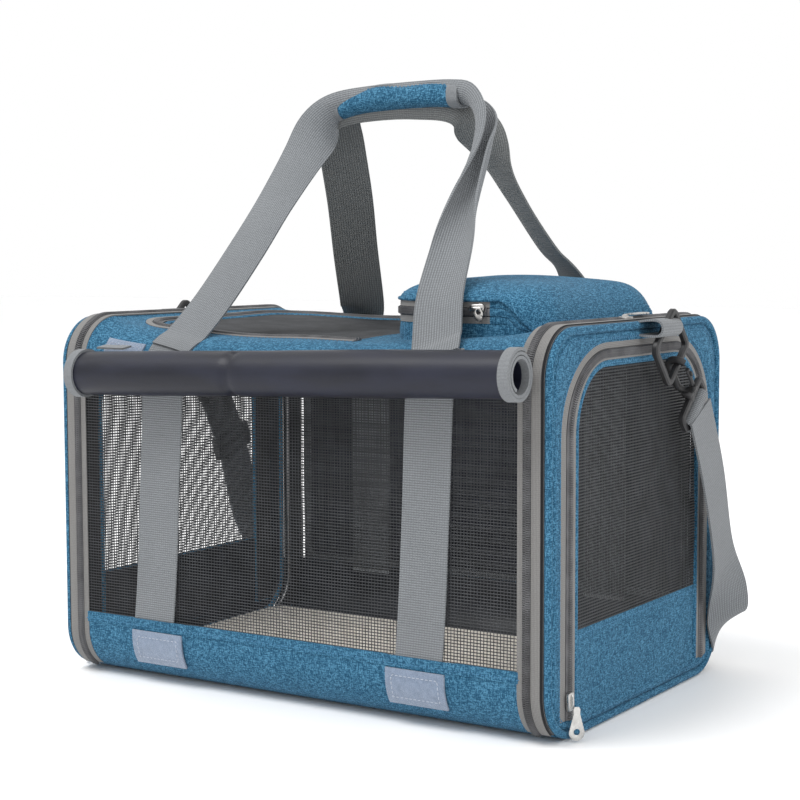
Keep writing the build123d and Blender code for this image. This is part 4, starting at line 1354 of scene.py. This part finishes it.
def patches():
    """Hook-and-loop squares: two low on the front band and two at its top corners, stitched round."""
    shape = Shape()
    for place, shift, half, span, lift, inset in (
        (LOW_PATCH_X, RIGHT_PATCH_SHIFT, LOW_PATCH_HALF, LOW_PATCH, PATCH_LIFT + 0.8, 5),
        (TOP_PATCH_X, 0, TOP_PATCH_HALF, TOP_PATCH, PATCH_LIFT, 3.2),
    ):
        for side in (-1, 1):
            centre = side * place + (shift if side > 0 else 0)
            x = centre + np.linspace(-half, half, 14)
            s = -np.linspace(s_at(span[1]), s_at(span[0]), 10)
            shape.cloth(shell(x, s, lift), 1.5, lining=0)
            a = centre + np.array([-half + inset, half - inset, half - inset, -half + inset, -half + inset])
            b = -np.array([s_at(span[0] + inset)] * 2 + [s_at(span[1] - inset)] * 2 + [s_at(span[0] + inset)])
            line = resample(np.stack([a, b], 1), 1.5)
            stitches(shape, relax(above(line[:, 0], line[:, 1], lift + 0.1)), outwards(line[:, 1]), 1)
    paints = [HOOK_LOOP, THREAD_LIGHT]
    piece("hook_loop_squares", shape, "carrier", ["hook_loop_patches"], paints)


# ---- flat back cover ----
COVER_HEM = 9
COVER_CORNER = 12


def back_cover():
    """The cover let down over the back window, waved a little, with a binding round it."""
    centre = (0, (COVER_LOW + COVER_TOP) / 2)
    half_z = (COVER_TOP - COVER_LOW) / 2

    def hang(x, z, lift=0.0):
        loose = smooth((COVER_TOP - z) / 60)
        wave = 1.2 * loose * ripple(x, z * 0.35, 120, 91)
        return np.stack([x, COVER_Y + 1.4 + np.abs(wave) + lift, z], -1)

    shape = Shape()
    across = np.linspace(COVER_HALF - 2, -COVER_HALF + 2, 80)
    shape.cloth(hang(*np.meshgrid(across, np.linspace(COVER_LOW + 2, COVER_TOP - 2, 50))), 1.1, lining=1)
    cover = piece("back_cover_cloth", shape, "back_cover", ["back_cover"], [BLUE, SATIN])
    edge = Shape()
    line = resample(ring(COVER_HALF - 3, half_z - 3, COVER_CORNER, 0, 12) + centre, 4.0, wrap=True)
    inner = ring(COVER_HALF - COVER_HEM, half_z - COVER_HEM, COVER_CORNER - 6, 0, 12) + centre
    inner = resample(inner, count=len(line), wrap=True)
    rows = np.stack([hang(p[:, 0], p[:, 1], 0.7) for p in (inner, (line + inner) / 2, line)])
    edge.cloth(rows, 2.6, wrap_u=True, lining=0)
    stitches(edge, rows[1], (0, 1, 0), 1)
    paints = [BINDING, THREAD_LIGHT]
    hem = piece("back_cover_edge", edge, "back_cover", ["back_cover_binding"], paints)


# ---- floor pad ----
PAD_CORNER = 18
PAD_EDGE = 12
CHANNEL_WIDE = 3.0
CHANNEL_DEEP = 0.45


def floor_pad():
    """The plush pad: crowned, pulled in at its edge, with two sewn channels across it."""
    half_x, half_y = high("floor_pad", X) - 1, high("floor_pad", Y) - 1
    foot, top = low("floor_pad", Z), high("floor_pad", Z)
    line = resample(ring(half_x, half_y, PAD_CORNER, 0, 10), count=160, wrap=True)
    shares = 1 - np.linspace(0, 1, 30) ** 1.5
    places = np.stack([line * max(share, 0.002) for share in shares])
    inside = (1 - shares)[:, None] * np.linalg.norm(line, axis=1)[None]
    x, y = places[..., 0], places[..., 1]
    crown = np.sqrt(np.clip(1 - (1 - np.clip(inside / PAD_EDGE, 0, 1)) ** 2, 0, 1))
    channel = sum(np.exp(-(((x - c) / CHANNEL_WIDE) ** 2)) for c in (-half_x / 3, half_x / 3))
    full = (top - foot - 1.0) * (0.35 + 0.65 * crown) * (1 - CHANNEL_DEEP * channel)
    full = full + 0.4 * crown * ripple(x, y, 60, 95)
    upper = np.stack([x, y, foot + 0.6 + full], -1)
    under = np.stack([x, y, np.full(x.shape, foot + 0.2)], -1)
    shape = Shape()
    shape.grid(upper, wrap_u=True)
    shape.grid(under, wrap_u=True, flip=True)
    shape.grid(np.stack([under[0], upper[0]]), wrap_u=True)
    made = piece("floor_cushion", shape, "carrier", ["floor_pad"], [PLUSH])


# ---- shoulder strap and its hardware ----
CHAIN_LEAN = math.radians(42)
CHAIN_SIDE = np.array([0, math.cos(CHAIN_LEAN), math.sin(CHAIN_LEAN)])
CHAIN_DOWN = np.array([0, math.sin(CHAIN_LEAN), -math.cos(CHAIN_LEAN)])
EYE_DOWN = 76
RING_DOWN = 10
HOOK_DOWN = 39
EYE_BAR_DOWN = 70
STRAP_X = high("shoulder_strap", X) - 1
STRAP_BACK = high("shoulder_strap", Y)
STRAP_MID_Z = low("shoulder_strap", Z) + WEBBING / 2
STRAP_KNEE = (80, 194)
STRAP_FOOT_Y = 137


def on_chain(side, down, out=0.0):
    """A point of the hanging hardware: sideways, down along it, and outwards."""
    return STRAP_PIVOT + side * CHAIN_SIDE + down * CHAIN_DOWN + out * OUT


def chain_hardware():
    """Rectangular ring, snap hook with its swivel and eye."""
    bar_section = bar(2.4, 2.4, 1.0)
    loop = Shape()
    line = ring(21, 18, 5, 0, 8)
    loop.tube(np.array([on_chain(a, RING_DOWN + b) for a, b in line]), bar_section, OUT, closed=True)
    at_both_ends("{}_ring_bar", loop, "shoulder_strap", ["{}_ring"], [PLASTIC])
    hook = Shape()
    line = ring(6.5, 16, 6.2, 0, 10)
    gate = (line[:, 0] > 4) & (np.abs(line[:, 1] + 2) < 9.5)
    open_at = np.where(gate)[0]
    order = np.roll(np.arange(len(line)), -open_at[-1] - 1)[: len(line) - len(open_at)]
    body = np.array([on_chain(0, HOOK_DOWN + b, a) for a, b in line])[order]
    hook.tube(curve(body[::2], 60), oval(3.0, 2.5, 12), CHAIN_SIDE)
    for down, a, long_ in ((57, 4.6, 3.2), (62, 3.2, 5.5)):
        points, faces = pebble(a, a, long_, 3)
        hook.repeat(points, faces, on_chain(0, down)[None], CHAIN_SIDE[None], OUT[None], CHAIN_DOWN[None])
    line = ring(21, 6, 3, 0, 6)
    hook.tube(np.array([on_chain(a, EYE_BAR_DOWN + b) for a, b in line]), bar_section, OUT, closed=True)
    at_both_ends("{}_hook_body", hook, "shoulder_strap", ["{}_snap_hook"], [PLASTIC])
    latch = Shape()
    x = middle("right_hook_gate", X) - STRAP_PIVOT[0]
    ends = [on_chain(0, 32.6, x), on_chain(0, 36, x + 0.2), on_chain(0, 44, x + 0.2), on_chain(0, 48.8, x)]
    latch.tube(curve(ends, 20), oval(1.9, 1.4, 10), OUT)
    points, faces = pebble(1.2, 1.5, 2.2, 3)
    latch.repeat(points, faces, on_chain(0, 37, x + 1.6)[None], CHAIN_SIDE[None], OUT[None], CHAIN_DOWN[None])
    at_both_ends("{}_gate_bar", latch, "{}_hook_gate", ["{}_hook_gate"], [PLASTIC])


TAB_HALF = 17
TAB_TALL = 5
TAB_SHIFT = (0, -3, 7)


def ring_tabs():
    """A roll of webbing folded over each ring's top bar, level, and sewn into the corner of the end."""
    shape = Shape()
    reach = STRAP_PIVOT[0] - END_X + 0.6
    turn = np.linspace(math.pi / 2, -math.pi / 2, 14)
    path = [(-reach, TAB_TALL - 1), (-reach * 0.5, TAB_TALL)]
    path += [(TAB_TALL * math.cos(a), TAB_TALL * math.sin(a)) for a in turn]
    path += [(-reach * 0.5, -TAB_TALL), (-reach, 1 - TAB_TALL)]
    line = np.array([STRAP_PIVOT + (out, 0, up) + TAB_SHIFT for out, up in path])
    line = resample(line, count=34)
    ribbon(shape, line, np.broadcast_to((0.0, 1.0, 0.0), line.shape), TAB_HALF, 1.6)
    for end, form, sign in (("right", shape, 1), ("left", shape.mirrored(), -1)):
        made = piece(f"{end}_ring_loop", form, None, ["ring_tabs"], [WEB])
        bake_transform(made)


STRAP_RUN = [
    (0, 92, 157, 0, 0.94, 0.33), (0, 112, 98, 0, 0.94, 0.33), (-1, 126, 62, 0.45, 0.8, 0.3),
    (-8, 138, 38, 0.6, 0.45, 0.7), (-28, 150, 27, 0.15, 0.1, 1), (-56, 160, 24, 0, 0, 1),
    (-92, 171, 23, 0, 0, 1), (-150, 181, 22, 0, 0, 1),
]


def strap():
    """The shoulder strap: looped through each eye, down the end, and round behind the carrier on its edge."""
    shape = Shape()
    eye = on_chain(0, EYE_DOWN) * (0, 1, 1)
    first = (0, eye[1] + 0.5, eye[2] - 1, 0, 0.9, 0.42)
    last = (-STRAP_X, STRAP_BACK - 1, STRAP_MID_Z, 0, 0, 1)
    line = curve([first, *STRAP_RUN, last], 150)
    path, wide = line[:, :3] + (STRAP_X, 0, 0), unit(line[:, 3:])
    ribbon(shape, path, wide, WEBBING / 2, 1.7)
    turn = np.linspace(0, 2 * math.pi, 20)
    loop = np.array([on_chain(0, EYE_DOWN + 3.6 * math.sin(a), 3.6 * math.cos(a)) for a in turn])
    ribbon(shape, loop, np.broadcast_to(CHAIN_SIDE, loop.shape), 18, 1.4)
    piece("strap_webbing", shape.both(), "shoulder_strap", ["shoulder_strap"], [WEB])


def adjuster():
    """Three-bar slide on the left-hand run of the strap."""
    shape = Shape()
    knee, foot = np.array([STRAP_X, *STRAP_KNEE]), np.array([STRAP_X, STRAP_FOOT_Y, STRAP_MID_Z])
    run = unit((foot - knee)[None])[0]
    centre = np.array([STRAP_X, middle("strap_adjuster", Y), middle("strap_adjuster", Z)])
    across = np.cross(OUT, run)
    for out in (-2.5, 2.5):
        rim = np.array([centre + a * across + b * run + out * OUT for a, b in ring(21, 10, 3, 0, 6)])
        shape.tube(rim, bar(1.6, 1.1, 0.5), OUT, closed=True)
        middle_bar = np.array([centre + a * across + out * OUT for a in np.linspace(-20, 20, 6)])
        shape.tube(middle_bar, oval(2.0, 1.0, 10), OUT)
    for side in (-1, 1):
        line = np.array([centre + side * 22.3 * across + b * run for b in np.linspace(-9.5, 9.5, 6)])
        shape.tube(line, bar(1.0, 3.4, 0.5), OUT)
    piece("strap_slide", shape.mirrored(), "strap_adjuster", ["strap_adjuster"], [PLASTIC])


# ---- zip sliders and pull tabs ----
def slider(shape, centre, along, out, long_, wide, deep):
    """A zip slider: waisted body with a bridge for its pull."""
    across = np.cross(along, out)
    points, faces = pebble(wide / 2, long_ / 2, deep / 2, 5)
    points[:, 0] *= 0.80 + 0.20 * np.clip(points[:, 1] / (long_ / 2) * 1.4 + 0.4, 0, 1)
    shape.repeat(points, faces, centre[None], across[None], along[None], out[None])
    reach, foot, rise = long_ * 0.34, deep * 0.28, deep * 0.42
    line = []
    for a in np.linspace(0, math.pi, 10):
        line.append(centre + along * reach * math.cos(a) + out * (foot + rise * math.sin(a)))
    shape.tube(line, oval(1.2, 0.7, 8), across)


def pull_tab(shape, root, along, out, length, wide, thick, hole):
    """A tapered tab with a rounded end and a hole, hanging from its root along a direction."""
    across = np.cross(along, out)
    t = np.linspace(0, math.pi, 12)
    end = wide / 2
    taper, widen = np.linspace(6, length - end, 6), np.linspace(2.3, end, 6)
    tip = length - end + end * np.sin(t)[1:-1]
    down = np.concatenate([[0.8, 2.5], taper, tip, np.linspace(length - end, 6, 6), [2.5, 0.8]])
    narrow = np.linspace(-end, -2.3, 6)
    side = np.concatenate([[1.5, 2.4], widen, end * np.cos(t)[1:-1], narrow, [-2.4, -1.5]])
    outline = np.stack([side, down], 1)
    centre = np.array([0, length - 6])
    turn = np.linspace(0, 2 * math.pi, 24, endpoint=False)
    inner = centre + hole * np.stack([np.cos(turn), np.sin(turn)], 1)
    rows = fan(outline, inner, centre, 5)
    edge = np.array([0.55, 1, 1, 1, 0.5])[:, None] * thick / 2
    flat = root + rows[..., :1] * across + rows[..., 1:] * along
    for sign in (1, -1):
        points = flat + (sign * edge * np.ones(rows.shape[1]))[..., None] * out
        shape.grid(points, wrap_u=True, flip=sign < 0)
    for k in (0, -1):
        lip = [flat[k] + s * edge[k] * out for s in (-1, 1)]
        shape.grid(np.stack(lip), wrap_u=True, flip=k < 0)


def middle_of(name):
    a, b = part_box(name)
    return np.array((a + b) / 2) / MM


def size_of(name):
    a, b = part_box(name)
    return np.array(b - a) / MM


PULL_OUT = 2.5
PULL_HOLE = 2.2


def sliders():
    """Every zip slider and its pull. Directions: along the zip, out, down the pull, off the pull's face."""
    places = [
        ("{}_door", "{}_door_slider", "{}_door_pull", UP, OUT, -UP, unit(np.array([0.7, -0.71, 0]))),
        ("end_zip", "end_zip_slider", "end_zip_pull", BACK, UP, BACK, UP),
        ("pocket", "pocket_slider", "pocket_pull", OUT, -BACK, -UP, -BACK),
    ]
    for name, slide, pull, along, out, hang, face in places:
        source_slide, source_pull = slide.format("right"), pull.format("right")
        size, tab = size_of(source_slide), size_of(source_pull)
        body = Shape()
        sizes = (abs(size @ along), abs(size @ np.cross(along, out)), abs(size @ out))
        slider(body, middle_of(source_slide), along, out, *sizes)
        reach = abs(tab @ hang)
        root = middle_of(source_pull) - hang * reach / 2 + (PULL_OUT * OUT if face is not out else 0)
        leaf = Shape()
        wide, thick = abs(tab @ np.cross(hang, out)), abs(tab @ out)
        pull_tab(leaf, root, hang, face, reach, wide, thick, min(PULL_HOLE, reach / 6))
        if "{}" in slide:
            at_both_ends("{}_door_slider_body", body, slide, [slide], [NICKEL])
            at_both_ends("{}_door_pull_tab", leaf, pull, [pull], [NICKEL])
        else:
            piece(f"{name}_slider_body", body, slide, [slide], [NICKEL])
            piece(f"{name}_pull_tab", leaf, pull, [pull], [NICKEL])


def kept_nodes():
    """CAD nodes whose shape is right stay, with a better material."""
    for name, paint in (("base_board", BOARD), ("wire_frames", STEEL)):
        data = frame["nodes"][name].data
        data.materials.clear()
        data.materials.append(paint)


# ---- camera, floor and light ----
AIM = (7.5, 0, 214)
FAR = 1400
AZIMUTH = 32.7
ELEVATION = 4.9
TILT = -0.15
LENS = 80.55
FLOOR_REACH = 8
FLOOR_Z = -0.0006
LIGHT_AIM = (0, 0, 0.15)
KEY_POWER = 44
FILL_POWER = 12
INSIDE_POWER = 0.45


def camera():
    a, e = math.radians(AZIMUTH), math.radians(ELEVATION)
    back = Vector((math.sin(a) * math.cos(e), -math.cos(a) * math.cos(e), math.sin(e)))
    data = bpy.data.cameras.new("camera")
    data.lens = LENS
    data.sensor_width = 36
    data.clip_start, data.clip_end = 0.05, 50
    obj = bpy.data.objects.new("camera", data)
    bpy.context.scene.collection.objects.link(obj)
    obj.location = Vector(AIM) * MM + back * FAR * MM
    look = (-back).to_track_quat("-Z", "Y").to_matrix()
    obj.rotation_euler = (look @ Matrix.Rotation(math.radians(TILT), 3, "Z")).to_euler()
    bpy.context.scene.camera = obj


def area_light(name, place, aim, size, power):
    data = bpy.data.lights.new(name, "AREA")
    data.shape = "DISK"
    data.size, data.energy = size, power
    obj = bpy.data.objects.new(name, data)
    bpy.context.scene.collection.objects.link(obj)
    obj.location = place
    obj.rotation_euler = (Vector(aim) - Vector(place)).to_track_quat("-Z", "Y").to_euler()
    return obj


def studio():
    """White surroundings, a white floor, soft lights from above, and a weak one inside the carrier."""
    scene = bpy.context.scene
    world = bpy.data.worlds.new("studio")
    scene.world = world
    world.use_nodes = True
    world.node_tree.nodes["Background"].inputs[0].default_value = (1, 1, 1, 1)
    world.node_tree.nodes["Background"].inputs[1].default_value = 1.0
    mesh = bpy.data.meshes.new("floor")
    corners = ((-1, -1), (1, -1), (1, 1), (-1, 1))
    points = [(FLOOR_REACH * a, FLOOR_REACH * b, FLOOR_Z) for a, b in corners]
    mesh.from_pydata(points, [], [(0, 1, 2, 3)])
    ground = bpy.data.objects.new("floor", mesh)
    scene.collection.objects.link(ground)
    paint, _, surface = new_material("floor_white", Roughness=0.6, Base_Color=(1, 1, 1, 1))
    surface.inputs["Specular IOR Level"].default_value = 0.1
    mesh.materials.append(paint)
    area_light("key", (-0.8, -1.3, 2.6), LIGHT_AIM, 1.6, KEY_POWER)
    area_light("fill", (2.4, -0.8, 1.4), LIGHT_AIM, 1.8, FILL_POWER)
    inside = area_light("inside", (0, 0, 0.24), (0, 0, 0), 0.22, INSIDE_POWER)
    inside.visible_camera = False
    scene.view_settings.view_transform = "Standard"


# ---- build ----
camera()
lower_cloth()
upper_cloth()
side_windows()
top_cloth()
top_zip()
top_door()
end_zips()
piping()
end_panels()
door_zips()
doors()
pocket()
sewn_webbing()
handles()
grip()
roll()
patches()
back_cover()
floor_pad()
chain_hardware()
ring_tabs()
strap()
adjuster()
sliders()
kept_nodes()
studio()
